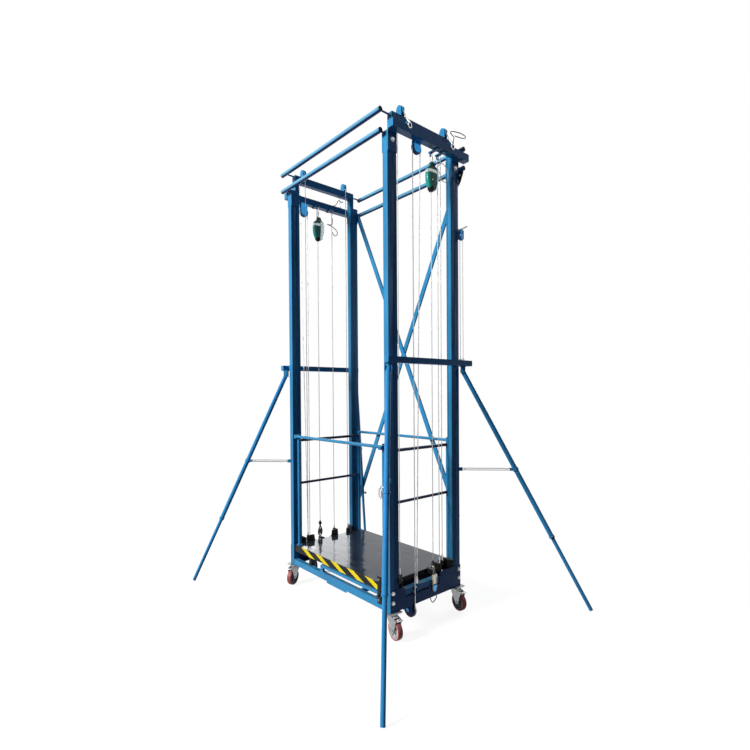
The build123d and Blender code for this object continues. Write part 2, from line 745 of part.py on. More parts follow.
# Carriage ropes: from an eye on the outer top beam, over a sheave of the inner
# frame, down to a block on the end of the deck.
block_top = deck_top + 48
anchors = []
falls = []
for end, beam in ((1, right_beam), (-1, left_beam)):
    for y in (-ear_spacing, ear_spacing):
        pin_z = beam + beam_size + eye_height
        eye = Torus(4 + fit + thin_rope / 2, thin_rope / 2)
        eye = Pos(end * pin_x, y, pin_z) * Rot(90, 0, 0) * eye
        lean = math.atan2(pin_x - anchor_x, ear_z - pin_z)
        foot = (end * (pin_x - 6 * math.sin(lean)), y, pin_z + 6 * math.cos(lean))
        short = thin_rope / 2 * math.tan(lean) + fit
        top = (end * (anchor_x + short * math.sin(lean)), y, ear_z - short * math.cos(lean))
        anchors.append(eye + rod(foot, top, thin_rope))
        over = arc((end * ear_x, ear_z), ear_sheave_radius, (0, 180) if end > 0 else (180, 0), y)
        inside = end * (ear_x - ear_sheave_radius)
        falls.append(tube([over, Edge.make_line((inside, y, ear_z), (inside, y, block_top))], thin_rope))
save("carriage_anchors", *anchors)
save("carriage_falls", *falls)

# Fall arresters: a moulded housing on a snap ring under each hanger, its line
# running straight down to the deck, and a plain safety line beside it.
housing = 190
ring_radius = 11


def arrester(y, beam, hang):
    """Housing at the +X end and the height of its nozzle; hang lengthens the ring."""
    hole = beam - arm_depth - 12
    low = -16 - hang
    ring = Pos(arrester_x, y, hole - 30) * Rot(0, 0, 90) * tube([
        Edge.make_line((0, -ring_radius, 0), (0, -ring_radius, 22)),
        Edge.make_three_point_arc((0, -ring_radius, 22), (0, 0, 22 + ring_radius), (0, ring_radius, 22)),
        Edge.make_line((0, ring_radius, 22), (0, ring_radius, low)),
        Edge.make_three_point_arc((0, ring_radius, low), (0, 0, low - ring_radius),
                                  (0, -ring_radius, low)),
        Edge.make_line((0, -ring_radius, low), (0, -ring_radius, 0))], 7)
    top = hole - 48 - hang
    body = box((arrester_x - 28, arrester_x + 28), (y - 46, y + 46), (top - housing, top))
    body = fillet(body.edges().filter_by(Axis.X), 26)
    body = fillet(body.edges().filter_by(Axis.Y), 8)
    nozzle = rod((arrester_x, y, top - housing - 12), (arrester_x, y, top - housing + 2), 30)
    return body + nozzle + ring, top - housing - 12


right_unit, right_nozzle = arrester(right_arrester_y, right_beam, 0)
left_unit, left_nozzle = arrester(-left_arrester_y, left_beam, hook_length)
save("fall_arresters", right_unit, opposite(left_unit))
ball_radius = 15
right_ball = deck_top + 43
left_ball = deck_top + 117
safety_top = arm_depth + 24
lines = []
for end, y, top, low in (
        (1, right_arrester_y, right_nozzle, right_ball + ball_radius),
        (-1, left_arrester_y, left_nozzle, left_ball + ball_radius),
        (1, right_safety_y, right_beam - safety_top, block_top),
        (-1, left_safety_y, left_beam - safety_top, block_top)):
    lines.append(rod((end * arrester_x, y, top), (end * arrester_x, y, low), thin_rope))
save("arrester_lines", *lines)

# Deck: a grey plate notched round the guard posts, on a black tube frame with
# feet that stand on the base rails and arms that hold the guide shoes.
half_deck = deck_length / 2
half_depth = deck_width / 2
plate_depth = 4
deck_low = deck_top - 50
arm_plate = 6
arm_y = inner_mouth - 20 - arm_plate
arm_top = deck_top + 38
guard_x = half_deck - 15
guard_y = half_depth - 28
guard_foot = guard_diameter / 2 + 12
left_foot = 165
right_foot = 35
frame_z = (deck_low, deck_top - plate_depth)
deck_x = (-half_deck, half_deck)
deck_plate = box(deck_x, (-half_depth, half_depth), (deck_top - plate_depth, deck_top))
for side in corners:
    notch = box((guard_x - guard_foot - 1, half_deck + 1), (guard_y - guard_foot - 1, half_depth + 1),
                (0, deck_top * 2))
    deck_plate -= to_corner(notch, side)
save("deck_plate", deck_plate)
save("edge_strip", box(deck_x, (-half_depth - 3, -half_depth), (deck_low, deck_top)))
deck_frame = box(deck_x, (-half_depth, half_depth), frame_z)
deck_frame -= box((-half_deck + 40, half_deck - 40), (-half_depth + 40, half_depth - 40), (0, 1000))
for x in (-half_deck / 3, half_deck / 3):
    deck_frame += box((x - 20, x + 20), (-half_depth, half_depth), frame_z)
for side in corners:
    inside = half_width - outer_post_depth + 1
    foot_out = half_deck - (right_foot if side[0] > 0 else left_foot)
    foot = box((foot_out - 30, foot_out), (inside, inside + 17), (base_top + fit, deck_low + 1))
    arm = box((half_deck, half_length), (arm_y, arm_y + arm_plate), (deck_low + 5, arm_top))
    deck_frame += to_corner(foot, side) + to_corner(arm, side)
save("deck_frame", deck_frame)
shoe_wall = 7
shoe = box((post_inside - shoe_wall, half_length + shoe_wall), (arm_y + arm_plate, inner_mouth + 12),
           (deck_top + 2, arm_top))
shoe -= box((post_inside + 0.2, half_length - 0.2), (inner_mouth - fit, half_width), (0, arm_top * 2))
save("guide_shoes", *[to_corner(shoe, side) for side in corners])


def rope_block(end, reach, y, width):
    """Welded block on the deck end; the rope meets it near one side of its top."""
    toward = 1 if y < 0 else -1
    near = y - toward * block_edge
    far = y + toward * width
    outline = Polyline((near, block_low), (far, block_low), (far, deck_top + block_slope),
                       (far - toward * block_slope, block_top), (near, block_top), close=True)
    face = Plane((0, 0, 0), x_dir=(0, 1, 0), z_dir=(1, 0, 0)) * make_face(outline)
    shape = Pos(half_deck, 0, 0) * extrude(face, reach - half_deck)
    return shape if end > 0 else mirror(shape, about=Plane.YZ)


blocks = []
block_low = deck_top - 30
block_edge = 8
block_slope = 15
block_beyond = 12
wide_block = 74
slim_block = 30
fall_reach = ear_x - ear_sheave_radius + block_beyond
line_reach = arrester_x + block_beyond
for end, width in ((-1, wide_block), (1, slim_block)):
    blocks.append(rope_block(end, fall_reach, -ear_spacing, width))
    blocks.append(rope_block(end, fall_reach, ear_spacing, slim_block))
blocks.append(rope_block(1, line_reach, right_safety_y, slim_block))
blocks.append(rope_block(-1, line_reach, left_safety_y, wide_block))
for end, y, ball_height in ((1, right_arrester_y, right_ball), (-1, left_arrester_y, left_ball)):
    block = box(sorted((end * half_deck, end * line_reach)), (y - block_beyond, y + block_beyond),
                (block_low, deck_top + 5))
    block += rod((end * arrester_x, y, deck_top), (end * arrester_x, y, ball_height), 12)
    blocks.append(block + Pos(end * arrester_x, y, ball_height) * Sphere(ball_radius))
save("rope_blocks", *blocks)

# Guard rails: tube posts and rails on the back and both ends. The front is one
# bar that lifts on a pin at its left end and drops on a rest at its right end.
guard_z = deck_top + guard_height
end_rail_z = guard_z - 33
mid_z = deck_top + guard_height * 0.568
bar_diameter = 22
gate_y = -guard_y - guard_diameter / 2 - bar_diameter / 2 - 1


def guard():
    shape = None
    for side in corners:
        foot = (side[0] * guard_x, side[1] * guard_y, deck_top - plate_depth)
        post = rod(foot, (foot[0], foot[1], guard_z + 14), guard_diameter)
        post += rod(foot, (foot[0], foot[1], deck_top + 3), 2 * guard_foot)
        shape = post if shape is None else shape + post
    for x in (-guard_x, guard_x):
        shape += rod((x, -guard_y, end_rail_z), (x, guard_y, end_rail_z), bar_diameter)
        shape += rod((x, -guard_y, mid_z), (x, guard_y, mid_z), 20)
    shape += rod((-guard_x, guard_y, guard_z), (guard_x, guard_y, guard_z), bar_diameter)
    shape += rod((-guard_x, -guard_y, guard_z), (-guard_x, gate_y - 14, guard_z), 10)
    low = guard_z - bar_diameter / 2 - fit
    shape += box((guard_x - 12, guard_x + 12), (gate_y - 15, -guard_y), (low - 6, low))
    shape += box((guard_x - 12, guard_x + 12), (gate_y - 15, gate_y - 12), (low - 6, low + 14))
    return shape


def gate():
    bar = rod((-guard_x, gate_y, guard_z), (guard_x + 18, gate_y, guard_z), bar_diameter)
    bar += rod((-guard_x, gate_y - 11.5, guard_z), (-guard_x, gate_y + 11.5, guard_z), 30)
    return bar - rod((-guard_x, -400, guard_z), (-guard_x, 0, guard_z), 10.1)


save("guard_rails", guard())
save("gate_bar", gate())
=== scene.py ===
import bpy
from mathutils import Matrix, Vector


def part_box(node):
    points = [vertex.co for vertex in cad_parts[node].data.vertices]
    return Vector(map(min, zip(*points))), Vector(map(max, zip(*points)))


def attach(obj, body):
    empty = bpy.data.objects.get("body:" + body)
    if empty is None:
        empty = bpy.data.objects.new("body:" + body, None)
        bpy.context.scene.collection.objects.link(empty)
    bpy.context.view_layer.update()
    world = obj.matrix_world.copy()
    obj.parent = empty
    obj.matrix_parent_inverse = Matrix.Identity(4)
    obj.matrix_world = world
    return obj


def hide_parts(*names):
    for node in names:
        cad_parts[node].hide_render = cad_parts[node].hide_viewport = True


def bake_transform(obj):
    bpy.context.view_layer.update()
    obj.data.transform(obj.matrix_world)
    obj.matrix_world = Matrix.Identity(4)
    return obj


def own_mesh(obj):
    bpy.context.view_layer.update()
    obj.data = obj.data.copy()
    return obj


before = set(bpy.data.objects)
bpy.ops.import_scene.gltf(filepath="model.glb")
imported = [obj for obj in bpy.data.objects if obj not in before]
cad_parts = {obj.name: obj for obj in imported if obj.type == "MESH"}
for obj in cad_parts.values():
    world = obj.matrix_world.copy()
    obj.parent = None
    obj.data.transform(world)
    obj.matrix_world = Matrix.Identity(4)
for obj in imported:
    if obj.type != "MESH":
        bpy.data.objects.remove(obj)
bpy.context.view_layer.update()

import math

import bmesh
import bpy
from mathutils import Matrix, Vector

scene = bpy.context.scene
scene.view_settings.view_transform = "Standard"

# Studio: a white floor that takes a faint shadow, soft light from the front left and from
# behind, two pale panels on the left that the deck mirrors, and the view of the photograph.
floor_half, shadow_start, shadow_end = 30, 1.6, 3.4
floor_grey, shadow_grey = (0.08, 0.08, 0.08, 1), (0.24, 0.24, 0.24, 1)
floor_glow, white_glow = 0.90, 1.0
fill_blue, fill_strength, backdrop_white = (0.48, 0.56, 1.0, 1), 0.032, (1, 1, 1, 1)
frame_middle, deck_middle = (0, 0, 1.6), (0, 0, 0.33)
lamps = {"key_lamp": ((-2.0, -10.4, 6.2), frame_middle, 3.2, 1650),
         "rear_lamp": ((-0.8, 7.0, 4.6), frame_middle, 4.0, 300),
         "back_panel": ((-7.18, 4.45, 2.85), deck_middle, 1.6, 18),
         "corner_panel": ((-7.18, 3.62, 2.62), deck_middle, 0.9, 5.5)}
camera_place = (2.811, -2.349, 1.555)
camera_yaw, camera_pitch, camera_roll = 49.34, -0.67, -0.39
focal_pixels, frame_pixels, centre_row, centre_column = 478.0, 750.0, 397.9, 375.5


def node(tree, kind, values=None, **settings):
    """One shader node. Values go by input name or number and may be sockets."""
    made = tree.nodes.new("ShaderNode" + kind)
    for label, value in settings.items():
        setattr(made, label, value)
    for label, value in (values or {}).items():
        if isinstance(value, bpy.types.NodeSocket):
            tree.links.new(value, made.inputs[label])
        else:
            made.inputs[label].default_value = value
    return made


def figure(tree, operation, *values, **settings):
    """Result of one math step on numbers or sockets."""
    return node(tree, "Math", dict(enumerate(values)), operation=operation, **settings).outputs[0]


def either(tree, *masks):
    """The largest of several masks."""
    result = masks[0]
    for mask in masks[1:]:
        result = figure(tree, "MAXIMUM", result, mask)
    return result


def spread(tree, value, low, high, to_low=0.0, to_high=1.0):
    """A value between two levels, eased onto a new range."""
    made = node(tree, "MapRange", {"Value": value, "From Min": low, "From Max": high,
                                   "To Min": to_low, "To Max": to_high},
                interpolation_type="SMOOTHSTEP")
    return made.outputs["Result"]


def place_on(tree):
    """Place on the piece, in metres."""
    return node(tree, "TexCoord").outputs["Object"]


def seen_rays(tree):
    """Mask of the rays that show a thing: straight, mirrored or through glass."""
    path = node(tree, "LightPath").outputs
    return either(tree, path["Is Camera Ray"], path["Is Glossy Ray"], path["Is Transmission Ray"])


floor_corners = [(a * floor_half, b * floor_half, 0) for a, b in ((-1, -1), (1, -1), (1, 1), (-1, 1))]
floor_mesh = bpy.data.meshes.new("studio_floor")
floor_mesh.from_pydata(floor_corners, [], [(0, 1, 2, 3)])
floor = bpy.data.objects.new("studio_floor", floor_mesh)
scene.collection.objects.link(floor)
floor_paint = bpy.data.materials.new("studio_white")
floor_paint.use_nodes = True
tree = floor_paint.node_tree
tree.nodes.clear()
seen = seen_rays(tree)
reach = node(tree, "VectorMath", {0: place_on(tree)}, operation="LENGTH").outputs["Value"]
matt = node(tree, "BsdfDiffuse", {"Color": floor_grey}).outputs[0]
shaded = node(tree, "BsdfDiffuse", {"Color": shadow_grey}).outputs[0]
glow = node(tree, "Emission", {"Strength": floor_glow}).outputs[0]
white = node(tree, "Emission", {"Strength": white_glow}).outputs[0]
near = node(tree, "AddShader", {0: shaded, 1: glow}).outputs[0]
faded = spread(tree, reach, shadow_start, shadow_end)
backdrop = node(tree, "MixShader", {0: faded, 1: near, 2: white}).outputs[0]
floor_face = node(tree, "MixShader", {0: seen, 1: matt, 2: backdrop}).outputs[0]
node(tree, "OutputMaterial", {"Surface": floor_face})
floor_mesh.materials.append(floor_paint)

world = bpy.data.worlds.new("studio")
scene.world = world
world.use_nodes = True
tree = world.node_tree
tree.nodes.clear()
seen = seen_rays(tree)
fill = node(tree, "Background", {"Color": fill_blue, "Strength": fill_strength}).outputs[0]
backdrop = node(tree, "Background", {"Color": backdrop_white, "Strength": white_glow}).outputs[0]
surround = node(tree, "MixShader", {0: seen, 1: fill, 2: backdrop}).outputs[0]
node(tree, "OutputWorld", {"Surface": surround})

for name, (place, aim, size, power) in lamps.items():
    lamp = bpy.data.lights.new(name, "AREA")
    lamp.shape = "SQUARE"
    lamp.size = size
    lamp.energy = power
    stand = bpy.data.objects.new(name, lamp)
    stand.location = place
    stand.rotation_euler = (Vector(aim) - Vector(place)).to_track_quat("-Z", "Y").to_euler()
    scene.collection.objects.link(stand)

lens = bpy.data.cameras.new("photo_view")
lens.sensor_width = 36.0
lens.lens = focal_pixels * lens.sensor_width / frame_pixels
lens.shift_x = (frame_pixels / 2 - centre_column) / frame_pixels
lens.shift_y = (centre_row - frame_pixels / 2) / frame_pixels
lens.clip_end = 200
camera = bpy.data.objects.new("photo_view", lens)
yaw, pitch, roll = (math.radians(angle) for angle in (camera_yaw, camera_pitch, camera_roll))
forward = Vector((-math.sin(yaw) * math.cos(pitch), math.cos(yaw) * math.cos(pitch), math.sin(pitch)))
rolled = Matrix.Rotation(roll, 4, "Z").to_quaternion()
camera.rotation_mode = "QUATERNION"
camera.rotation_quaternion = forward.to_track_quat("-Z", "Y") @ rolled
camera.location = camera_place
scene.collection.objects.link(camera)
scene.camera = camera

# Outer posts: four cold-rolled steel channels with a stay fork welded on each outer corner,
# sprayed with blue gloss enamel. The film has orange peel and drifts in tone, is rubbed to
# primer on edges, and shows dust on top, a painted sheen along the roll lines from mid-height
# up, and painted shade that darkens it low down.
enamel_blue = (0.030, 0.252, 0.480, 1)
enamel_sheen, clear_sheen = (0.01, 0.09, 1.0, 1), (1, 1, 1, 1)
primer_grey = (0.20, 0.24, 0.29, 1)
dust_tone = (0.34, 0.33, 0.31, 1)
low_shade_tone = (0.004, 0.016, 0.065, 1)
broad_edge, fine_edge, no_edge = 0.0015, 0.001, 0.0


def new_group(name, inputs, outputs):
    """Shader node group with the given sockets, with its inner ends to link to."""
    tree = bpy.data.node_groups.new(name, "ShaderNodeTree")
    for label, value in inputs.items():
        kind = "NodeSocketFloat" if isinstance(value, float) else "NodeSocketColor"
        tree.interface.new_socket(label, in_out="INPUT", socket_type=kind).default_value = value
    for label, kind in outputs.items():
        tree.interface.new_socket(label, in_out="OUTPUT", socket_type="NodeSocket" + kind)
    given = tree.nodes.new("NodeGroupInput").outputs
    result = tree.nodes.new("NodeGroupOutput").inputs
    return tree, given, result


def placed(tree, group, **values):
    """Outputs of a node group placed in a material with its own values."""
    return node(tree, "Group", values, node_tree=group).outputs


def times(tree, first, second):
    """Product of two values."""
    return figure(tree, "MULTIPLY", first, second)


def plus(tree, first, second):
    """Sum of two values, kept between 0 and 1."""
    return figure(tree, "ADD", first, second, use_clamp=True)


def mixed(tree, share, first, second):
    """One colour over another by a mask."""
    return node(tree, "Mix", {0: share, 6: first, 7: second}, data_type="RGBA").outputs[2]


def noise(tree, place, scale, detail=3.0):
    """Cloudy value from 0 to 1."""
    return node(tree, "TexNoise", {"Vector": place, "Scale": scale, "Detail": detail}).outputs["Fac"]


def part_of(tree, vector, axis):
    """One axis of a vector."""
    return node(tree, "SeparateXYZ", {0: vector}).outputs[axis]


def facing_up(tree):
    """How far a face looks upward, from -1 to 1."""
    return part_of(tree, node(tree, "NewGeometry").outputs["Normal"], "Z")


def stretched(tree, vector, rates):
    """A vector multiplied axis by axis."""
    return node(tree, "VectorMath", {0: vector, 1: rates}, operation="MULTIPLY").outputs[0]


film_drift, given, result = new_group(
    "film_drift", {"Colour": enamel_blue, "Drift": 0.12, "Gloss": 0.24, "Grain": 900.0},
    {"Colour": "Color", "Roughness": "Float", "Height": "Float"})
place = place_on(film_drift)
clouds = noise(film_drift, place, 3.1, 4.0)
smears = noise(film_drift, place, 21.0, 5.0)
darker = figure(film_drift, "SUBTRACT", 1.0, given["Drift"])
lighter = figure(film_drift, "ADD", 1.0, given["Drift"])
tone = spread(film_drift, clouds, 0.3, 0.7, darker, lighter)
tinted = node(film_drift, "HueSaturation", {"Value": tone, "Color": given["Colour"]}).outputs[0]
duller = times(film_drift, given["Gloss"], 1.5)
shinier = times(film_drift, given["Gloss"], 0.75)
film_drift.links.new(tinted, result["Colour"])
film_drift.links.new(spread(film_drift, smears, 0.3, 0.72, shinier, duller), result["Roughness"])
film_drift.links.new(noise(film_drift, place, given["Grain"], 2.0), result["Height"])

edge_rub, given, result = new_group("edge_rub", {"Width": 0.004, "Break": 55.0, "Amount": 0.8},
                                    {"Mask": "Float"})
rounded_normal = node(edge_rub, "Bevel", {"Radius": given["Width"]}, samples=4).outputs[0]
face_normal = node(edge_rub, "NewGeometry").outputs["Normal"]
facing = node(edge_rub, "VectorMath", {0: rounded_normal, 1: face_normal},
              operation="DOT_PRODUCT").outputs["Value"]
on_edge = spread(edge_rub, facing, 0.995, 0.80)
patchy = spread(edge_rub, noise(edge_rub, place_on(edge_rub), given["Break"], 5.0), 0.46, 0.66)
edge_rub.links.new(times(edge_rub, times(edge_rub, on_edge, patchy), given["Amount"]), result["Mask"])

dust_settle, given, result = new_group("dust_settle", {"Amount": 0.4, "Cloud": 16.0}, {"Mask": "Float"})
upward = facing_up(dust_settle)
place = place_on(dust_settle)
height = part_of(dust_settle, place, "Z")
lying = times(dust_settle, spread(dust_settle, upward, 0.3, 0.95),
              spread(dust_settle, noise(dust_settle, place, given["Cloud"], 6.0), 0.3, 0.75))
splashed = times(dust_settle, spread(dust_settle, height, 0.45, 0.02, 0.0, 0.22),
                 spread(dust_settle, noise(dust_settle, place, 34.0, 6.0), 0.45, 0.8))
settled = either(dust_settle, lying, splashed)
dust_settle.links.new(times(dust_settle, settled, given["Amount"]), result["Mask"])

roll_lines, given, result = new_group("roll_lines", {"Lines": 62.0, "Amount": 0.6}, {"Mask": "Float"})
place = place_on(roll_lines)
drawn = stretched(roll_lines, place, (1.0, 1.0, 0.02))
streaks = spread(roll_lines, noise(roll_lines, drawn, given["Lines"], 2.0), 0.44, 0.66)
height = part_of(roll_lines, place, "Z")
# Painted reflection: the sheen is kept off the lower metre and grows to full strength at 2.3 m.
upper_sheen_band = times(roll_lines, streaks, spread(roll_lines, height, 0.9, 2.3))
roll_lines.links.new(times(roll_lines, upper_sheen_band, given["Amount"]), result["Mask"])

# Painted shade: a patchy mask that grows towards the bottom and fades out above a given height.
painted_low_shade, given, result = new_group("painted_low_shade", {"Amount": 0.5, "Shade Top": 2.1}, {"Mask": "Float"})
place = place_on(painted_low_shade)
lower = spread(painted_low_shade, part_of(painted_low_shade, place, "Z"), given["Shade Top"], 0.7)
uneven_shade = spread(painted_low_shade, noise(painted_low_shade, place, 9.0, 5.0), 0.2, 0.7, 0.7, 1.0)
shaded_low = times(painted_low_shade, lower, uneven_shade)
painted_low_shade.links.new(times(painted_low_shade, shaded_low, given["Amount"]), result["Mask"])


def new_finish(name):
    """New material, with its node tree and the inputs of its surface."""
    material = bpy.data.materials.new(name)
    material.use_nodes = True
    return material, material.node_tree, material.node_tree.nodes["Principled BSDF"].inputs


def enamel(name, colour, undercoat=primer_grey, gloss=0.24, drift=0.12, rub=0.8, dust=0.4, shine=0.34,
           lines=0.0, sheen=enamel_sheen, grease_and_low_shade=0.0):
    """Sprayed enamel on steel: drift, orange peel, rubbed edges, dust, painted shade low down, painted
    sheen on roll lines.
    """
    material, tree, surface = new_finish(name)
    film = placed(tree, film_drift, Colour=colour, Drift=drift, Gloss=gloss)
    rubbed = placed(tree, edge_rub, Amount=rub)["Mask"]
    dusty = placed(tree, dust_settle, Amount=dust)["Mask"]
    painted = mixed(tree, rubbed, film["Colour"], undercoat)
    # Painted shade: where the mask shows, low down, the film is mixed towards a dark navy.
    if grease_and_low_shade:
        painted = mixed(tree, placed(tree, painted_low_shade, Amount=grease_and_low_shade)["Mask"], painted, low_shade_tone)
    tree.links.new(mixed(tree, dusty, painted, dust_tone), surface["Base Color"])
    matted = plus(tree, film["Roughness"], times(tree, either(tree, dusty, rubbed), 0.4))
    tree.links.new(matted, surface["Roughness"])
    peel = node(tree, "Bump", {"Height": film["Height"], "Strength": 0.07, "Distance": 0.0006})
    tree.links.new(peel.outputs[0], surface["Normal"])
    surface["Specular IOR Level"].default_value = shine
    surface["Specular Tint"].default_value = sheen
    if lines:
        tree.links.new(placed(tree, roll_lines, Amount=lines)["Mask"], surface["Coat Weight"])
        surface["Coat Roughness"].default_value = 0.3
    return material


def dress(material, edge, *names):
    """Give CAD nodes a finish, and break their sharp edges by the given width."""
    for name in names:
        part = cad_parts[name]
        part.data.materials.clear()
        part.data.materials.append(material)
        if edge:
            closed = part.modifiers.new("joined", "WELD")
            closed.merge_threshold = 0.00002
            broken = part.modifiers.new("broken_edge", "BEVEL")
            broken.width = edge
            broken.segments = 2
            broken.limit_method = "ANGLE"
            broken.angle_limit = math.radians(40)
            broken.harden_normals = True


blue_gloss = enamel("blue_gloss", enamel_blue)
# The outer posts carry a painted sheen on their roll lines and painted shade low down.
post_paint = enamel("post_paint", enamel_blue, lines=0.6, grease_and_low_shade=0.22)
dress(post_paint, broad_edge, "outer_posts")

# Base: two side rails between the posts, a slotted step plate welded on the front
# one, and folded end plates outside the posts, in a darker blue that is painted shade.
# Every seam is a rippled weld bead, painted over with the rest.
post_x, post_y, post_width, post_depth = 0.600, 0.340, 0.045, 0.040
rail_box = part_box("base_rails")
seam_low, rail_top = rail_box[0][2] + 0.013, rail_box[1][2]
seam_y, seam_inset = post_y + 0.0005, 0.002
plate_low, plate_top, plate_seam_y = 0.166, 0.296, post_y - 0.001
bead_wide, bead_thin = 0.0035, 0.003
step_seams, step_seam_length = (-0.160, 0.06, 0.28, 0.47), 0.055
return_x, return_half, return_level, return_depth = 0.556, 0.225, 0.2284, 0.0034
return_seam_x, return_seam_half, return_seam_level, return_bead = 0.5995, 0.22, 0.228, 0.0025
along_x, along_y, along_z = Vector((1, 0, 0)), Vector((0, 1, 0)), Vector((0, 0, 1))
corners = [(end, side) for end in (-1, 1) for side in (-1, 1)]


def circle(radius, sides=12):
    """Round section as pairs of offsets."""
    turns = [2 * math.pi * step / sides for step in range(sides)]
    return [(radius * math.cos(turn), radius * math.sin(turn)) for turn in turns]


def skin(mesh, rings, paint, capped):
    """Faces between rings of points, with end caps where they are asked for."""
    sides = len(rings[0])
    faces = []
    for first, second in zip(rings, rings[1:]):
        for here in range(sides):
            there = (here + 1) % sides
            faces.append(mesh.faces.new((first[here], first[there], second[there], second[here])))
    if capped:
        faces += [mesh.faces.new(rings[0][::-1]), mesh.faces.new(rings[-1])]
    for face in faces:
        face.material_index = paint
    return faces


def sweep(mesh, points, section, closed=False, twist=0.0, swell=None, paint=0):
    """Skin a section along points, with a twist in radians per metre of run."""
    points = [Vector(point) for point in points]
    last = len(points) - 1
    rings, side, along = [], None, 0.0
    for index, point in enumerate(points):
        ahead = points[index + 1] if index < last else (points[0] if closed else point)
        behind = points[index - 1] if index or closed else point
        run = (ahead - behind).normalized()
        side = run.orthogonal() if side is None else side - run * side.dot(run)
        side.normalize()
        along += (point - points[index - 1]).length if index else 0.0
        across = Matrix.Rotation(twist * along, 3, run) @ side
        up = run.cross(across)
        grow = swell(index) if swell else 1.0
        rings.append([mesh.verts.new(point + (across * u + up * v) * grow) for u, v in section])
    if closed:
        rings.append(rings[0])
    skin(mesh, rings, paint, not closed)
    return rings


def new_piece(name, mesh, materials, body):
    """Object from a bmesh, smooth between sharp corners, riding on a body."""
    bmesh.ops.recalc_face_normals(mesh, faces=mesh.faces)
    data = bpy.data.meshes.new(name)
    mesh.to_mesh(data)
    mesh.free()
    for material in materials:
        data.materials.append(material)
    for face in data.polygons:
        face.use_smooth = True
    data.set_sharp_from_angle(angle=math.radians(34))
    piece = bpy.data.objects.new(name, data)
    scene.collection.objects.link(piece)
    if body:
        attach(piece, body)
    return piece


def weld_bead(mesh, start, run, size=bead_wide):
    """Rippled bead of weld metal from a start along a run."""
    start, run = Vector(start), Vector(run)
    steps = max(6, int(run.length / bead_wide))
    points = [start.lerp(start + run, step / steps) for step in range(steps + 1)]
    sweep(mesh, points, circle(size, 8), swell=lambda index: 0.8 + 0.2 * (index % 2))


def slab(mesh, outline, origin, across, up, depth, paint=0):
    """Flat piece: an outline in the across-up plane, with a depth along their normal."""
    origin, across, up = Vector(origin), across.normalized(), up.normalized()
    lift = across.cross(up) * depth
    low = [mesh.verts.new(origin + across * a + up * b) for a, b in outline]
    high = [mesh.verts.new(vert.co + lift) for vert in low]
    skin(mesh, [low, high], paint, True)


dress(blue_gloss, broad_edge, "base_rails", "entry_step")
# Painted shade: the end plates take a darker copy of the blue enamel.
shaded_end_paint = enamel("shaded_end_paint", (0.012, 0.085, 0.21, 1), shine=0.2)
dress(shaded_end_paint, broad_edge, "base_ends")
beads = bmesh.new()
for end, side in corners:
    inner_x, inner_y = (post_x - post_width) * end, (post_y - post_depth + seam_inset) * side
    weld_bead(beads, (inner_x, seam_y * side, seam_low), along_z * (rail_top - seam_low))
    weld_bead(beads, (inner_x, inner_y, rail_top), along_y * (post_depth - 2 * seam_inset) * side)
    weld_bead(beads, (post_x * end, plate_seam_y * side, plate_low), along_z * (plate_top - plate_low),
              bead_thin)
for start in step_seams:
    weld_bead(beads, (start, -seam_y, rail_top), along_x * step_seam_length, bead_thin)
new_piece("base_welds", beads, [blue_gloss], "frame")
returns = bmesh.new()
for end in (-1, 1):
    low_x, high_x = sorted((return_x * end, post_x * end))
    outline = [(low_x, -return_half), (high_x, -return_half), (high_x, return_half), (low_x, return_half)]
    slab(returns, outline, along_z * return_level, along_x, along_y, return_depth)
    weld_bead(returns, (return_seam_x * end, -return_seam_half, return_seam_level),
              along_y * 2 * return_seam_half, return_bead)
new_piece("base_end_returns", returns, [shaded_end_paint], "frame")

# Castors: pressed and zinc-plated forks under bolted plates, cast hubs with a moulded
# polyurethane tread, and pressed brake pedals with a return spring. The plating is
# spangled and dulls in patches.
castor_corners = {"a": (-1, -1, -65), "b": (-1, 1, 115), "c": (1, -1, -10), "d": (1, 1, -10)}
castor_x, castor_y, castor_trail, axle_height = 0.585, 0.310, 0.038, 0.0625
plate_nut_x, plate_nut_y, plate_underside, plate_nut = 0.031, 0.041, 0.156, (0.013, 0.0055)
tread_side = [(-0.0165, 0.0525), (-0.0175, 0.0560), (-0.0165, 0.0602),
              (-0.0130, 0.0618), (-0.0060, 0.0624)]
hub_side = [(0.0162, 0.0524), (0.0162, 0.0470), (0.0050, 0.0440), (0.0040, 0.0230),
            (0.0080, 0.0195), (0.0190, 0.0180), (0.0196, 0.0165), (0.0196, 0.0066)]
rib_outline = [(0.0175, -0.012), (0.0472, -0.0145), (0.0472, 0.0145), (0.0175, 0.012)]
rib_count, rib_depth = 6, 0.004
pedal_reach, pedal_height, pedal_tilt, pedal_depth = 0.064, 0.131, math.radians(18), 0.003
pedal_half = [(0.003, -0.0165), (0.030, -0.0165), (0.045, -0.0145), (0.0515, -0.0075)]
pedal_outline = pedal_half + [(out, -across) for out, across in pedal_half[::-1]]
pedal_flange = [(0.0, -0.004), (0.030, -0.006), (0.036, 0.001), (0.0, 0.003)]
flange_sides, flange_depth = (-0.0165, 0.0148), 0.0017
fork_edge, pedal_edge = 0.0008, 0.0006
grip_ridges = (0.027, 0.032, 0.037, 0.042, 0.047)
grip_height, grip_half, grip_radius = 0.0027, 0.011, 0.0011
pedal_tube = [(-0.0175, 0.0031), (-0.0175, 0.0055), (0.0175, 0.0055), (0.0175, 0.0031)]
coil_half, coil_radius, coil_wire, coil_steps, coil_turn = 0.009, 0.0068, 0.0009, 60, 0.63
tarnish, pale_scuff = (0.10, 0.095, 0.09, 1), (0.3, 0.3, 0.3, 1)

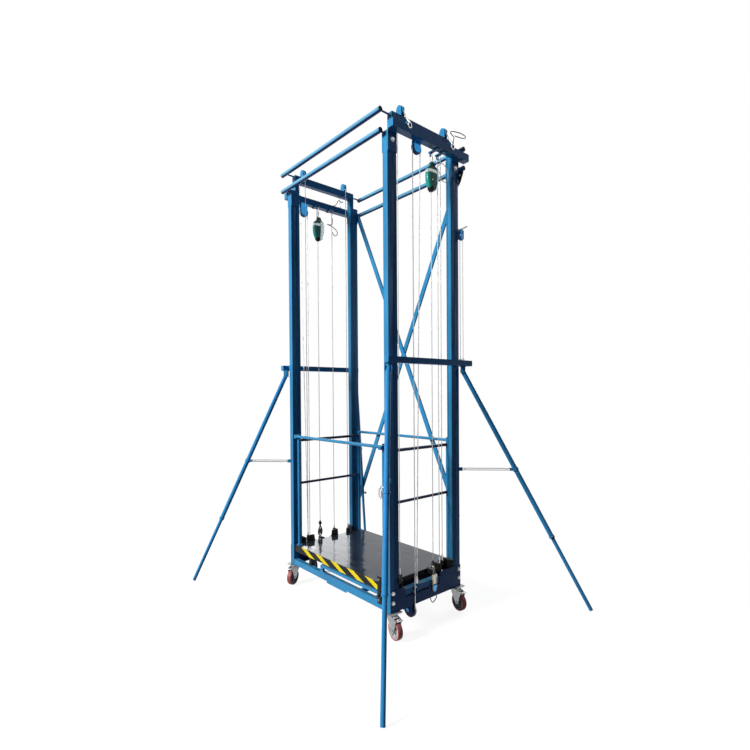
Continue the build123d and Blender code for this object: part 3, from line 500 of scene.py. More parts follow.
zinc_spangle, given, result = new_group("zinc_spangle", {"Colour": (0.60, 0.61, 0.62, 1), "Cells": 130.0},
                                        {"Colour": "Color", "Roughness": "Float", "Height": "Float"})
place = place_on(zinc_spangle)
flake = node(zinc_spangle, "TexVoronoi", {"Vector": place, "Scale": given["Cells"]}).outputs["Color"]
flake = part_of(zinc_spangle, flake, "X")
stain = noise(zinc_spangle, place, 27.0, 5.0)
bright = plus(zinc_spangle, spread(zinc_spangle, flake, 0.0, 1.0, 0.62, 0.82),
              spread(zinc_spangle, stain, 0.35, 0.7, 0.0, 0.22))
plated = node(zinc_spangle, "HueSaturation", {"Value": bright, "Color": given["Colour"]}).outputs[0]
zinc_spangle.links.new(plated, result["Colour"])
zinc_spangle.links.new(spread(zinc_spangle, stain, 0.3, 0.72, 0.26, 0.52), result["Roughness"])
zinc_spangle.links.new(flake, result["Height"])


def plated_steel(name, colour, cells=130.0, dust=0.35, rub=0.5):
    """Plated steel: spangle, dull stains, darkened edges and dust."""
    material, tree, surface = new_finish(name)
    plate = placed(tree, zinc_spangle, Colour=colour, Cells=cells)
    rubbed = placed(tree, edge_rub, Amount=rub, Width=0.002)["Mask"]
    dusty = placed(tree, dust_settle, Amount=dust)["Mask"]
    bare = mixed(tree, rubbed, plate["Colour"], tarnish)
    tree.links.new(mixed(tree, dusty, bare, dust_tone), surface["Base Color"])
    tree.links.new(plus(tree, plate["Roughness"], times(tree, dusty, 0.4)), surface["Roughness"])
    tree.links.new(spread(tree, dusty, 0.0, 0.6, 0.88, 0.1), surface["Metallic"])
    relief = node(tree, "Bump", {"Height": plate["Height"], "Strength": 0.05, "Distance": 0.0004})
    tree.links.new(relief.outputs[0], surface["Normal"])
    return material


def moulded(name, colour, gloss, drift=0.18, rub=0.5, worn=pale_scuff, dust=0.5, grain=500.0, shine=0.3):
    """Moulded plastic or rubber: mottled, scuffed pale on edges, dusty."""
    material, tree, surface = new_finish(name)
    face = placed(tree, film_drift, Colour=colour, Drift=drift, Gloss=gloss, Grain=grain)
    rubbed = placed(tree, edge_rub, Amount=rub, Width=0.003)["Mask"]
    dusty = placed(tree, dust_settle, Amount=dust, Cloud=24.0)["Mask"]
    scuffed = mixed(tree, rubbed, face["Colour"], worn)
    tree.links.new(mixed(tree, dusty, scuffed, dust_tone), surface["Base Color"])
    tree.links.new(plus(tree, face["Roughness"], times(tree, dusty, 0.3)), surface["Roughness"])
    relief = node(tree, "Bump", {"Height": face["Height"], "Strength": 0.18, "Distance": 0.0006})
    tree.links.new(relief.outputs[0], surface["Normal"])
    surface["Specular IOR Level"].default_value = shine
    return material


def mirrored(half):
    """A profile turned end for end about its middle."""
    return [(-along, radius) for along, radius in half[::-1]]


def lathe(mesh, profile, origin, axis, steps=28, ring=False, paint=0):
    """Turn a profile of (along, radius) pairs about an axis. A ring has no end caps."""
    origin, axis = Vector(origin), axis.normalized()
    side = axis.orthogonal().normalized()
    up = axis.cross(side)
    turns = [2 * math.pi * step / steps for step in range(steps)]
    spokes = [side * math.cos(turn) + up * math.sin(turn) for turn in turns]
    rings = []
    for along, radius in profile:
        rings.append([mesh.verts.new(origin + axis * along + spoke * radius) for spoke in spokes])
    skin(mesh, rings + rings[:1] if ring else rings, paint, not ring)


def rounded(width, height, radius, steps=4):
    """Outline of a rectangle with rounded corners, about its middle."""
    outline = []
    for corner, (a, b) in enumerate(((1, 1), (-1, 1), (-1, -1), (1, -1))):
        for step in range(steps + 1):
            turn = math.pi / 2 * (corner + step / steps)
            outline.append((a * (width / 2 - radius) + radius * math.cos(turn),
                            b * (height / 2 - radius) + radius * math.sin(turn)))
    return outline


def soften(mesh, width):
    """Round the sharp edges of everything in the mesh so far."""
    bmesh.ops.recalc_face_normals(mesh, faces=mesh.faces)
    sharp = [edge for edge in mesh.edges if len(edge.link_faces) == 2 and edge.calc_face_angle() > 0.6]
    bmesh.ops.bevel(mesh, geom=sharp, offset=width, offset_type="OFFSET", segments=2,
                    profile=0.5, affect="EDGES", clamp_overlap=True)


def hex_nut(mesh, place, axis, size, paint=0):
    """Chamfered hexagon nut of a size (across flats, height), with a stub of thread."""
    across, height = size
    corner, thread = across / math.sqrt(3), across * 0.27
    body = [(0, corner * 0.9), (height * 0.12, corner), (height * 0.85, corner), (height, corner * 0.88)]
    stub = [(height * 0.9, thread), (height + 0.002, thread), (height + 0.003, across * 0.2)]
    lathe(mesh, body, place, axis, 6, paint=paint)
    lathe(mesh, stub, place, axis, 12, paint=paint)


zinc = plated_steel("zinc_plate", (0.43, 0.45, 0.46, 1))
bolt_zinc = plated_steel("bolt_zinc", (0.72, 0.72, 0.70, 1), cells=300.0, dust=0.15)
tread_red = moulded("tread_red", (0.40, 0.085, 0.080, 1), 0.42, rub=0.6,
                    worn=(0.50, 0.22, 0.19, 1), dust=0.6)
hub_grey = moulded("hub_grey", (0.50, 0.51, 0.50, 1), 0.40, rub=0.4,
                   worn=(0.25, 0.25, 0.24, 1), dust=0.4)
tread_profile = tread_side + [(0.0, axle_height)] + mirrored(tread_side)
hub_profile = hub_side + mirrored(hub_side)
dress(zinc, fine_edge, "castor_plates")
plate_nuts = bmesh.new()
for name, (end, side, heading) in castor_corners.items():
    dress(zinc, fork_edge, "castor_fork_" + name)
    turn = math.radians(heading)
    ahead = Vector((math.cos(turn), math.sin(turn), 0))
    across = Vector((-math.sin(turn), math.cos(turn), 0))
    swivel = Vector((castor_x * end, castor_y * side, 0))
    hub = swivel + ahead * castor_trail + along_z * axle_height

    wheel = bmesh.new()
    lathe(wheel, tread_profile, hub, across, 56, ring=True)
    lathe(wheel, hub_profile, hub, across, 40, ring=True, paint=1)
    for rib in range(rib_count):
        spoke = Matrix.Rotation(2 * math.pi * rib / rib_count, 3, across) @ ahead
        start = hub - across.cross(spoke) * rib_depth / 2
        slab(wheel, rib_outline, start, spoke, across, -rib_depth, paint=1)
    piece = new_piece("wheel_" + name, wheel, [tread_red, hub_grey], "castor_wheel_" + name)
    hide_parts("castor_wheel_" + name)

    out = ahead * math.cos(pedal_tilt) + along_z * math.sin(pedal_tilt)
    upright = along_z * math.cos(pedal_tilt) - ahead * math.sin(pedal_tilt)
    pin = swivel + ahead * pedal_reach + along_z * pedal_height
    pedal = bmesh.new()
    slab(pedal, pedal_outline, pin - upright * 0.0004, out, across, pedal_depth)
    for flange in flange_sides:
        slab(pedal, pedal_flange, pin + across * flange, out, upright, -flange_depth)
    soften(pedal, pedal_edge)
    for ridge in grip_ridges:
        grip = pin + out * ridge + upright * grip_height
        sweep(pedal, [grip - across * grip_half, grip + across * grip_half], circle(grip_radius, 8))
    lathe(pedal, pedal_tube, pin, across, 20, ring=True)
    coil = []
    for step in range(coil_steps + 1):
        spoke = out * math.cos(step * coil_turn) + upright * math.sin(step * coil_turn)
        coil.append(pin + across * coil_half * (2 * step / coil_steps - 1) + spoke * coil_radius)
    sweep(pedal, coil, circle(coil_wire, 6))
    piece = new_piece("pedal_" + name, pedal, [bolt_zinc], "brake_pedal_" + name)
    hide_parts("brake_pedal_" + name)
    for a, b in corners:
        nut = (swivel.x + plate_nut_x * a, swivel.y + plate_nut_y * b, plate_underside)
        hex_nut(plate_nuts, nut, -along_z, plate_nut)
new_piece("castor_plate_nuts", plate_nuts, [bolt_zinc], "frame")

# Top frame: square beams across each end at the top and half-way up, round rails in front and
# behind with painted shade on their undersides, and flat cross braces. Plugs close the rails, welded
# caps close the beams, zinc bolts hold the brackets and a black gusset stiffens the back corner.
beam_size, beam_x, beam_level = 0.050, 0.631, {1: 3.190, -1: 3.137}
mid_size, mid_x, mid_level = 0.040, 0.636, 1.737
beam_seam_x, beam_seam_y, beam_seam_length = 0.606, 0.265, 0.073
mid_seams_x, mid_seam_y, mid_seam_length = (0.616, 0.600), 0.304, 0.032
beam_ends = ((beam_x, beam_level[1] + beam_size / 2, beam_size, (-0.340, 0.392)),
             (-beam_x, beam_level[-1] + beam_size / 2, beam_size, (-0.340, 0.340)),
             (mid_x, mid_level + mid_size / 2, mid_size, (-0.390, 0.420)),
             (-mid_x, mid_level + mid_size / 2, mid_size, (-0.385, 0.390)))
cap_gap, cap_depth, cap_corner = 0.001, 0.002, 0.003
bolt_edge, cap_edge, gusset_edge = 0.0006, 0.0006, 0.0012
hanger_y, hanger_half, hanger_gap = {1: -0.094, -1: -0.186}, 0.0315, 0.004
hanger_highlight_blue, underside_shade_blue = (0.045, 0.30, 0.66, 1), (0.010, 0.040, 0.140, 1)
front_rail_y, back_rail_y = -0.375, 0.375
plug_profile = [(-0.012, 0.0137), (0.0002, 0.0138), (0.0003, 0.0171), (0.0012, 0.0171),
                (0.0022, 0.0150), (0.0028, 0.0100), (0.0030, 0.0006)]
gusset_outline = [(0.600, 3.130), (0.644, 3.116), (0.640, 3.098), (0.617, 3.046), (0.600, 3.024)]
gusset_y, gusset_depth = 0.3485, 0.008
gusset_bolt, gusset_nut = (0.618, 0.3405, 3.092), (0.013, 0.006)
black_moulded = moulded("black_moulded", (0.012, 0.012, 0.013, 1), 0.42, worn=(0.09, 0.09, 0.09, 1),
                        dust=0.35, shine=0.12)
black_enamel = enamel("black_enamel", (0.010, 0.010, 0.012, 1), (0.10, 0.10, 0.10, 1), gloss=0.3,
                      dust=0.45, shine=0.12, sheen=clear_sheen)


def overlay(material, mask, colour):
    """Lay another colour over a finish where a mask shows it."""
    tree = material.node_tree
    base = tree.nodes["Principled BSDF"].inputs["Base Color"]
    tree.links.new(mixed(tree, mask, base.links[0].from_socket, colour), base)


def plug_rails(name, body, levels, right_ends, left_ends):
    """Plugs in the front and back rail: black ones at the right, painted ones at the left."""
    plugs = bmesh.new()
    for axis, ends, paint in ((along_x, right_ends, 0), (-along_x, left_ends, 1)):
        for place in zip(ends, (front_rail_y, back_rail_y), levels):
            lathe(plugs, plug_profile, place, axis, 24, paint=paint)
    new_piece(name, plugs, [black_moulded, blue_gloss], body)


dress(blue_gloss, broad_edge, "beam_brackets", "cross_braces", "mid_beams")
# Painted highlight: below each top beam the sheave hangers turn a lighter, metallic blue, so their shaded
# faces read as lit.
beam_paint = enamel("beam_paint", enamel_blue)
tree = beam_paint.node_tree
axes = node(tree, "SeparateXYZ", {0: place_on(tree)}).outputs
at_right = figure(tree, "GREATER_THAN", axes["X"], 0.0)
higher = beam_level[1] - beam_level[-1]
underside = figure(tree, "MULTIPLY_ADD", at_right, higher, beam_level[-1] - hanger_gap)
middle = figure(tree, "MULTIPLY_ADD", at_right, hanger_y[1] - hanger_y[-1], hanger_y[-1])
below = figure(tree, "LESS_THAN", axes["Z"], underside)
beside = figure(tree, "COMPARE", axes["Y"], middle, hanger_half)
on_hanger = times(tree, below, beside)
overlay(beam_paint, on_hanger, hanger_highlight_blue)
tree.links.new(times(tree, on_hanger, 0.9), tree.nodes["Principled BSDF"].inputs["Metallic"])
dress(beam_paint, broad_edge, "outer_beams")
# The rails take a lighter blue than the frame as a painted highlight for the sheen on their tops, and
# painted shade darkens every face that looks down.
rail_gloss = enamel("rail_gloss", (0.135, 0.400, 0.600, 1), gloss=0.16)
tree = rail_gloss.node_tree
overlay(rail_gloss, spread(tree, facing_up(tree), -0.45, -0.75), underside_shade_blue)
dress(rail_gloss, no_edge, "lower_rails")
dress(bolt_zinc, bolt_edge, "frame_bolts")
plug_rails("lower_rail_plugs", "frame", (3.182, 3.153), (0.5775, 0.625), (-0.625, -0.600))
beads = bmesh.new()
for end, level in beam_level.items():
    for side in (-1, 1):
        for z in (level, level + beam_size):
            weld_bead(beads, (beam_seam_x * end, beam_seam_y * side, z),
                      along_y * beam_seam_length * side, bead_thin)
        for z in (mid_level, mid_level + mid_size):
            for x in mid_seams_x:
                weld_bead(beads, (x * end, mid_seam_y * side, z),
                          along_y * mid_seam_length * side, bead_thin)
new_piece("beam_welds", beads, [blue_gloss], "frame")
caps = bmesh.new()
for x, z, size, ends in beam_ends:
    for y in ends:
        outline = rounded(size - cap_gap, size - cap_gap, cap_corner)
        slab(caps, outline, (x, y, z), along_x, along_z, math.copysign(cap_depth, -y))
soften(caps, cap_edge)
new_piece("beam_end_caps", caps, [blue_gloss], "frame")
gusset = bmesh.new()
slab(gusset, gusset_outline, along_y * gusset_y, along_x, along_z, gusset_depth)
soften(gusset, gusset_edge)
hex_nut(gusset, gusset_bolt, -along_y, gusset_nut, paint=1)
new_piece("back_corner_gusset", gusset, [black_enamel, bolt_zinc], "frame")

# Legs: round tubes hung on pins below the mid beams, each with a thinner tube that
# slides in it and a clamp screw at the lower collar. A looped wire stay with pressed
# ferrules ties each leg back to its post.
leg_corners = {"a": (-1, -1, 0.797), "b": (-1, 1, 0.797), "c": (1, -1, 0.770), "d": (1, 1, 0.892)}
hinge_x, hinge_y, hinge_height, hinge_out = 0.620, 0.360, 1.702, 0.0283
stay_height, stay_radius, stay_loop, stay_start, stay_gap = 1.0, 0.0026, 0.0063, 0.014, 0.033
ferrule_gap, ferrule_length, ferrule_outline = 0.028, 0.012, rounded(0.0062, 0.0190, 0.0028)
foot_radius, floor_gap, collar_share, collar_rise = 0.0135, 0.0004, 0.70, 0.007
ferrule_edge = 0.0008
screw_profile = [(0.0185, 0.0045), (0.026, 0.0045), (0.0262, 0.0105),
                 (0.0275, 0.0115), (0.036, 0.0115), (0.038, 0.009)]


def rope_section(radius, strands=6):
    """Outline of a stranded rope: a lobe for each strand and a groove between."""
    outline = []
    for step in range(strands * 2):
        turn = math.pi * step / strands
        reach = radius if step % 2 == 0 else radius * 0.78
        outline.append((reach * math.cos(turn), reach * math.sin(turn)))
    return outline


def rope(mesh, points, radius, closed=False):
    """Six-strand rope along a dense line of points, laid right-handed."""
    grooves = mesh.verts.layers.float.get("groove") or mesh.verts.layers.float.new("groove")
    rings = sweep(mesh, points, rope_section(radius), closed, twist=2 * math.pi / (radius * 19))
    for ring in rings:
        for step, vert in enumerate(ring):
            vert[grooves] = step % 2


def straight(start, end, step=0.005):
    """Evenly spaced points on a line."""
    start, end = Vector(start), Vector(end)
    count = max(2, int((end - start).length / step))
    return [start.lerp(end, index / count) for index in range(count + 1)]


def bow(centre, first, second, radius, angles, step=0.005):
    """Points on an arc, with angles in degrees from the first direction to the second."""
    centre = Vector(centre)
    low, high = (math.radians(angle) for angle in angles)
    count = max(4, int(abs(high - low) * radius / step))
    turns = [low + (high - low) * index / count for index in range(count + 1)]
    return [centre + (first * math.cos(turn) + second * math.sin(turn)) * radius for turn in turns]


def joined(*runs):
    """Runs put end to end without doubled points."""
    points = []
    for run in runs:
        points += [point for point in run if not points or (point - points[-1]).length > 0.0005]
    return points


def long_loop(first, second, side, radius, step):
    """Closed line round two points: two straight runs and a half turn at each end."""
    ahead = (second - first).normalized()
    return joined(straight(first + side * radius, second + side * radius),
                  bow(second, side, ahead, radius, (0, 180), step),
                  straight(second - side * radius, first - side * radius),
                  bow(first, -side, -ahead, radius, (0, 180), step))[:-1]


def wire_finish(name, colour, grease_and_low_shade):
    """Galvanised wire rope: bright strands, dull grease in the grooves between them."""
    material, tree, surface = new_finish(name)
    groove = node(tree, "Attribute", attribute_name="groove").outputs["Fac"]
    strand = placed(tree, zinc_spangle, Colour=colour, Cells=420.0)
    greasy = mixed(tree, spread(tree, groove, 0.45, 1.0, 0.0, 0.4), strand["Colour"], grease_and_low_shade)
    tree.links.new(greasy, surface["Base Color"])
    tree.links.new(strand["Roughness"], surface["Roughness"])
    tree.links.new(spread(tree, groove, 0.0, 1.0, 0.6, 0.4), surface["Metallic"])
    return material


wire = wire_finish("wire_rope", (0.56, 0.56, 0.57, 1), (0.16, 0.16, 0.16, 1))
stay_wire = wire_finish("stay_wire", (0.045, 0.045, 0.05, 1), (0.02, 0.02, 0.02, 1))
ferrule_alloy = plated_steel("ferrule_alloy", (0.66, 0.66, 0.65, 1), cells=260.0, dust=0.1)
leg_paint = enamel("leg_paint", (0.034, 0.285, 0.60, 1))
for name, (end, side, reach) in leg_corners.items():
    leg = "leg_tube_" + name
    dress(leg_paint, no_edge, leg, "leg_foot_" + name)
    out = Vector((end, side, 0)) / math.sqrt(2)
    level = out.cross(along_z)
    lean = math.atan2(reach, hinge_height)
    post_corner = Vector((post_x * end, post_y * side, stay_height))
    stay_end = math.tan(lean) * (hinge_height - stay_height) + hinge_out - stay_gap
    stay = bmesh.new()
    near, far = post_corner + out * stay_start, post_corner + out * stay_end
    rope(stay, long_loop(near, far, -along_z, stay_loop, 0.003), stay_radius, closed=True)
    piece = new_piece("stay_" + name, stay, [stay_wire], None)
    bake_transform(piece)
    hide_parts("stay_ropes")
    for at, body, where in (("_post", "frame", stay_start + ferrule_gap),
                            ("_leg", leg, stay_end - ferrule_gap)):
        ferrule = bmesh.new()
        start = post_corner + out * (where - ferrule_length / 2)
        slab(ferrule, ferrule_outline, start, level, along_z, -ferrule_length)
        soften(ferrule, ferrule_edge)
        new_piece("stay_ferrule_" + name + at, ferrule, [ferrule_alloy], body)
    down = (out * math.sin(lean) - along_z * math.cos(lean)).normalized()
    hinge = Vector((hinge_x * end, hinge_y * side, hinge_height))
    length = (hinge_height - foot_radius * math.sin(lean) - floor_gap) / math.cos(lean)
    screw = bmesh.new()
    lathe(screw, screw_profile, hinge + down * (length * collar_share - collar_rise), level, 10)
    new_piece("leg_screw_" + name, screw, [black_moulded], leg)

# Inner stage: closed tubes beside the outer channels, tied by beams at top and foot,
# with ears for the carriage sheaves on top. The slide shoes at the feet are nylon,
# and the tube faces are streaked where shoes run on them.
ear_y, ear_foot, ear_seams_x, ear_bead = 0.207, 3.320, (0.5555, 0.6035), 0.0022
cheek_sides, cheek_depth = (-0.015, 0.009), 0.006
stage_seam_x, stage_seam_y, stage_seam_length = 0.556, 0.261, 0.043
stage_seams_z = (3.265, 3.320, 0.240, 0.280)
streak_tone = (0.11, 0.30, 0.52, 1)
slide_streak, given, result = new_group("slide_streak", {"Amount": 0.5}, {"Mask": "Float"})
long_way = stretched(slide_streak, place_on(slide_streak), (260.0, 260.0, 1.3))
streaks = spread(slide_streak, noise(slide_streak, long_way, 1.0), 0.52, 0.72)
slide_streak.links.new(times(slide_streak, streaks, given["Amount"]), result["Mask"])

# The inner tubes are darkened low down by painted shade and carry a painted sheen on their roll lines.
blue_slide = enamel("blue_slide", enamel_blue, gloss=0.2, shine=0.16, lines=0.5, grease_and_low_shade=0.42)
overlay(blue_slide, placed(blue_slide.node_tree, slide_streak, Amount=0.35)["Mask"], streak_tone)
nylon_black = moulded("nylon_black", (0.016, 0.016, 0.017, 1), 0.5, worn=(0.07, 0.07, 0.07, 1),
                      dust=0.3, shine=0.12)
dress(blue_slide, broad_edge, "inner_posts")
dress(blue_gloss, broad_edge, "inner_beams", "ear_brackets")
dress(rail_gloss, no_edge, "upper_rails")
dress(blue_gloss, no_edge, "ear_sheaves_left", "ear_sheaves_right", "top_sheave_left", "top_sheave_right")
dress(nylon_black, fine_edge, "stage_shoes")
plug_rails("upper_rail_plugs", "inner_stage", (3.312, 3.287), (0.5775, 0.625), (-0.625, -0.5775))
beads = bmesh.new()
for end, side in corners:
    for cheek in cheek_sides:
        for x in ear_seams_x:
            weld_bead(beads, (x * end, ear_y * side + cheek, ear_foot), along_y * cheek_depth, ear_bead)
    for z in stage_seams_z:
        weld_bead(beads, (stage_seam_x * end, stage_seam_y * side, z),
                  along_x * stage_seam_length * end, bead_thin)
new_piece("inner_welds", beads, [blue_gloss], "inner_stage")

# Winch: a welded frame under the deck carries a geared motor with a finned barrel, a fan
# cover and a terminal box, all cast and painted slate blue, and a steel drum that takes
# both lift ropes. Blue-plated caps close the pins of the base sheaves.
drum_x, drum_z = 0.330, 0.222
gearbox_start, motor_start, motor_end, cover_end = -0.066, -0.004, 0.190, 0.222
gearbox_outline, gearbox_nut_x, gearbox_nut_z = rounded(0.100, 0.096, 0.014), 0.036, 0.034
fin_count, fin_gap = 36, 0.012
fin_steps = ((0.0, 0.0500), (0.30, 0.0500), (0.42, 0.0440), (0.88, 0.0440))
collar_profile = [(0, 0.046), (0.001, 0.0492), (0.013, 0.0492), (0.014, 0.046)]
cover_profile = [(0, 0.0462), (0.022, 0.0458), (0.028, 0.042),
                 (0.0315, 0.034), (0.032, 0.012), (0.0312, 0.0008)]
slot_count, slot_start, slot_length, slot_radius = 12, 0.014, 0.016, 0.0016
box_x, box_y, box_low, box_depth = drum_x - 0.0625, 0.0575, drum_z - 0.020, 0.046
box_outline, lid_outline = rounded(0.075, 0.050, 0.005), rounded(0.070, 0.046, 0.005)
lid_nut_x, lid_nut_y = 0.017, 0.028
lid_nut, gearbox_nut = (0.006, 0.003), (0.010, 0.004)
gland_place = (drum_x - 0.062, 0.095, drum_z)
gland_profile = [(0, 0.0098), (0.006, 0.0098), (0.007, 0.0085), (0.014, 0.0080), (0.017, 0.0050)]
base_x, base_z = 0.563, 0.120
pin_cap_y = {1: -0.146, -1: -0.168}
pin_cap_profile = [(0, 0.0060), (0.0005, 0.0125), (0.005, 0.0125),
                   (0.008, 0.0105), (0.0095, 0.006), (0.010, 0.0005)]
winch_edge, casting_edge = 0.0012, 0.003
black_part, nut_part = 1, 2
motor_paint = enamel("motor_paint", (0.035, 0.075, 0.17, 1), (0.22, 0.22, 0.22, 1), gloss=0.34, dust=0.6)
drum_steel = plated_steel("drum_steel", (0.42, 0.42, 0.42, 1), cells=60.0, dust=0.4)
iron_black = enamel("iron_black", (0.014, 0.014, 0.016, 1), (0.16, 0.15, 0.14, 1), gloss=0.36, dust=0.5)
cap_blue = plated_steel("cap_blue", (0.045, 0.24, 0.62, 1), cells=300.0, dust=0.1, rub=0.2)
dress(blue_gloss, winch_edge, "winch_frame")
dress(drum_steel, no_edge, "rope_drum")
dress(iron_black, no_edge, "base_sheave_left", "base_sheave_right")
motor = bmesh.new()
slab(motor, gearbox_outline, (drum_x, motor_start, drum_z), along_x, along_z, motor_start - gearbox_start)
slab(motor, box_outline, (box_x, box_y, box_low), along_y, along_x, -box_depth)
soften(motor, casting_edge)
fins = []
for fin in range(fin_count):
    for offset, reach in fin_steps:
        turn = 2 * math.pi * (fin + offset) / fin_count
        fins.append((reach * math.cos(turn), reach * math.sin(turn)))
barrel_length = motor_end - motor_start - 2 * fin_gap
slab(motor, fins, (drum_x, motor_end - fin_gap, drum_z), along_x, along_z, barrel_length)
for start in (motor_start, motor_end - collar_profile[-1][0]):
    lathe(motor, collar_profile, (drum_x, start, drum_z), along_y, 40)
lathe(motor, cover_profile, (drum_x, motor_end, drum_z), along_y, 40)
for slot in range(slot_count):
    turn = 2 * math.pi * slot / slot_count
    out = Vector((math.cos(turn), 0, math.sin(turn)))
    start = Vector((drum_x, cover_end - 0.0004, drum_z)) + out * slot_start
    sweep(motor, [start, start + out * slot_length], circle(slot_radius, 6), paint=black_part)
slab(motor, lid_outline, (box_x, box_y, box_low + box_depth - 0.0005), along_x, along_y, 0.004)
for a, b in corners:
    nut = (box_x + lid_nut_x * a, box_y + lid_nut_y * b, box_low + box_depth)
    hex_nut(motor, nut, along_z, lid_nut, paint=nut_part)
lathe(motor, gland_profile, gland_place, along_y, 6, paint=black_part)
for a, b in corners:
    nut = (drum_x + gearbox_nut_x * a, motor_start - 0.0005, drum_z + gearbox_nut_z * b)
    hex_nut(motor, nut, along_y, gearbox_nut, paint=nut_part)
piece = new_piece("geared_motor", motor, [motor_paint, black_moulded, bolt_zinc], "frame")
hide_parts("winch_motor")
caps = bmesh.new()
for end, y in pin_cap_y.items():
    lathe(caps, pin_cap_profile, (base_x * end, y, base_z), -along_y, 24)
new_piece("sheave_pin_caps", caps, [cap_blue], "frame")

# Lift ropes: six-strand galvanised wire rope, wound on the drum, led under the base
# sheaves, up the outside of each end and over the top sheaves. Each fall ends in a
# pressed socket on the foot beam of the inner stage.
lift_radius, lift_x, lift_y = 0.0034, 0.611, {1: -0.129, -1: -0.151}
wound_radius, wound_pitch, half_turns, turn_steps = 0.0433, 0.010, 7, 36
base_radius, top_radius, top_z = 0.048, 0.035, {1: 3.145, -1: 3.061}
lug_y, lug_top, lug_nut, stage_travel = {1: -0.112, -1: -0.168}, 0.300, (0.014, 0.006), 1.15
socket_profile = [(-0.001, 0.0085), (0.004, 0.0090), (0.018, 0.0082), (0.040, 0.0062),
                  (0.044, 0.0045), (0.044, 0.0031), (-0.001, 0.0031)]
side_names = {1: "right", -1: "left"}


def tangent(start, start_radius, end, end_radius):
    """Contact points of a line with both centres at signed heights above it."""
    run = math.dist(start, end)
    slope = math.atan2(end[1] - start[1], end[0] - start[0])
    slope -= math.asin((end_radius - start_radius) / run)
    up = (-math.sin(slope), math.cos(slope))
    return ((start[0] - start_radius * up[0], start[1] - start_radius * up[1]),
            (end[0] - end_radius * up[0], end[1] - end_radius * up[1]))


def angle_round(centre, point):
    """Angle of a point round a centre, in degrees."""
    return math.degrees(math.atan2(point[1] - centre[1], point[0] - centre[0]))


bright_wire = wire_finish("bright_wire", (0.95, 0.95, 0.95, 1), (0.42, 0.42, 0.42, 1))
drum = (drum_x, drum_z)
off, on = {}, {}
off[1], on[1] = tangent(drum, wound_radius, (base_x, base_z), base_radius)
on[-1], off[-1] = tangent((-base_x, base_z), base_radius, drum, -wound_radius)
wound = bmesh.new()
for end, first in ((1, 0), (-1, 180)):
    pitch = -wound_pitch * end
    coil = []
    for step in range(half_turns * turn_steps + 1):
        turn = math.radians(first + 180 * step / turn_steps)
        y = lift_y[end] - pitch * (half_turns - step / turn_steps) / 2
        spoke = along_x * math.cos(turn) + along_z * math.sin(turn)
        coil.append(Vector((drum_x, y, drum_z)) + spoke * wound_radius)
    ends = ((first + 180 * half_turns) % 360, angle_round(drum, off[end]) % 360)
    tail = bow((drum_x, lift_y[end], drum_z), along_x, along_z, wound_radius, ends, 0.004)
    rope(wound, joined(coil, tail), lift_radius)
piece = new_piece("rope_on_drum", wound, [bright_wire], "frame")
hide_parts("drum_rope")

lift_lines = bmesh.new()
for end, y in lift_y.items():
    sheave = (base_x * end, base_z)
    under = (angle_round(sheave, on[end]), 0 if end > 0 else -180)
    top = Vector((lift_x * end, y, top_z[end]))
    line = joined(straight((off[end][0], y, off[end][1]), (on[end][0], y, on[end][1])),
                  bow((sheave[0], y, sheave[1]), along_x, along_z, base_radius, under),
                  straight((lift_x * end, y, base_z), top),
                  bow(top + along_y * top_radius * end, -along_y * end, along_z, top_radius,
                      (0, 180), 0.004))
    rope(lift_lines, line, lift_radius)
piece = new_piece("lift_lines", lift_lines, [bright_wire], "frame")
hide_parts("lift_ropes")

for end, name in side_names.items():
    high = (lift_x * end, lift_y[end] + 2 * top_radius * end, top_z[end])
    low = (lift_x * end, lug_y[end], lug_top)
    fall = bmesh.new()
    rope(fall, straight(high, low), lift_radius)
    piece = new_piece("lift_fall_" + name, fall, [bright_wire], "frame")
    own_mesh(piece)
    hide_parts("lift_falls")
    socket = bmesh.new()
    lathe(socket, socket_profile, low, along_z, 20, ring=True)
    hex_nut(socket, (low[0], low[1] - 0.008, low[2] - 0.022), -along_y, lug_nut)
    new_piece("lift_socket_" + name, socket, [ferrule_alloy], "inner_stage")

# Carriage ropes: thinner wire rope from an eye on each top beam, over an ear sheave
# of the inner stage and down to the deck. Each eye has a pale thimble held by a bolt
# on the beam, and a pressed ferrule.
thin_radius, ear_x, ear_radius, ear_z, block_top = 0.0029, 0.5795, 0.029, 3.356, 0.378
ear_outer, ear_inner = ear_x + ear_radius, ear_x - ear_radius
eye_pin_x, eye_pin_rise, bight_radius = 0.650, 0.062, 0.0072
thimble_x, thimble_low, thimble_high, thimble_half, thimble_wire = 0.6605, 0.0145, 0.019, 0.0135, 0.0040
eye_bolt = [(-0.006, 0.0050), (0.0032, 0.0050), (0.0036, 0.0085), (0.0075, 0.0085), (0.0085, 0.0070)]
thimble_zinc = plated_steel("thimble_zinc", (0.95, 0.93, 0.87, 1), cells=300.0, dust=0.05, rub=0.2)


def ferrule_on(mesh, low, high, radius, paint=0):
    """Pressed sleeve round a rope between two points."""
    low, high = Vector(low), Vector(high)
    size = (high - low).length
    sleeve = [(0, radius), (size * 0.06, radius * 1.12), (size * 0.94, radius * 1.12), (size, radius)]
    lathe(mesh, sleeve, low, high - low, 14, paint=paint)


def ring_line(centre, first, second, count):
    """Points round a closed ring that has the two given half widths."""
    turns = [2 * math.pi * step / count for step in range(count)]
    return [Vector(centre) + first * math.cos(turn) + second * math.sin(turn) for turn in turns]


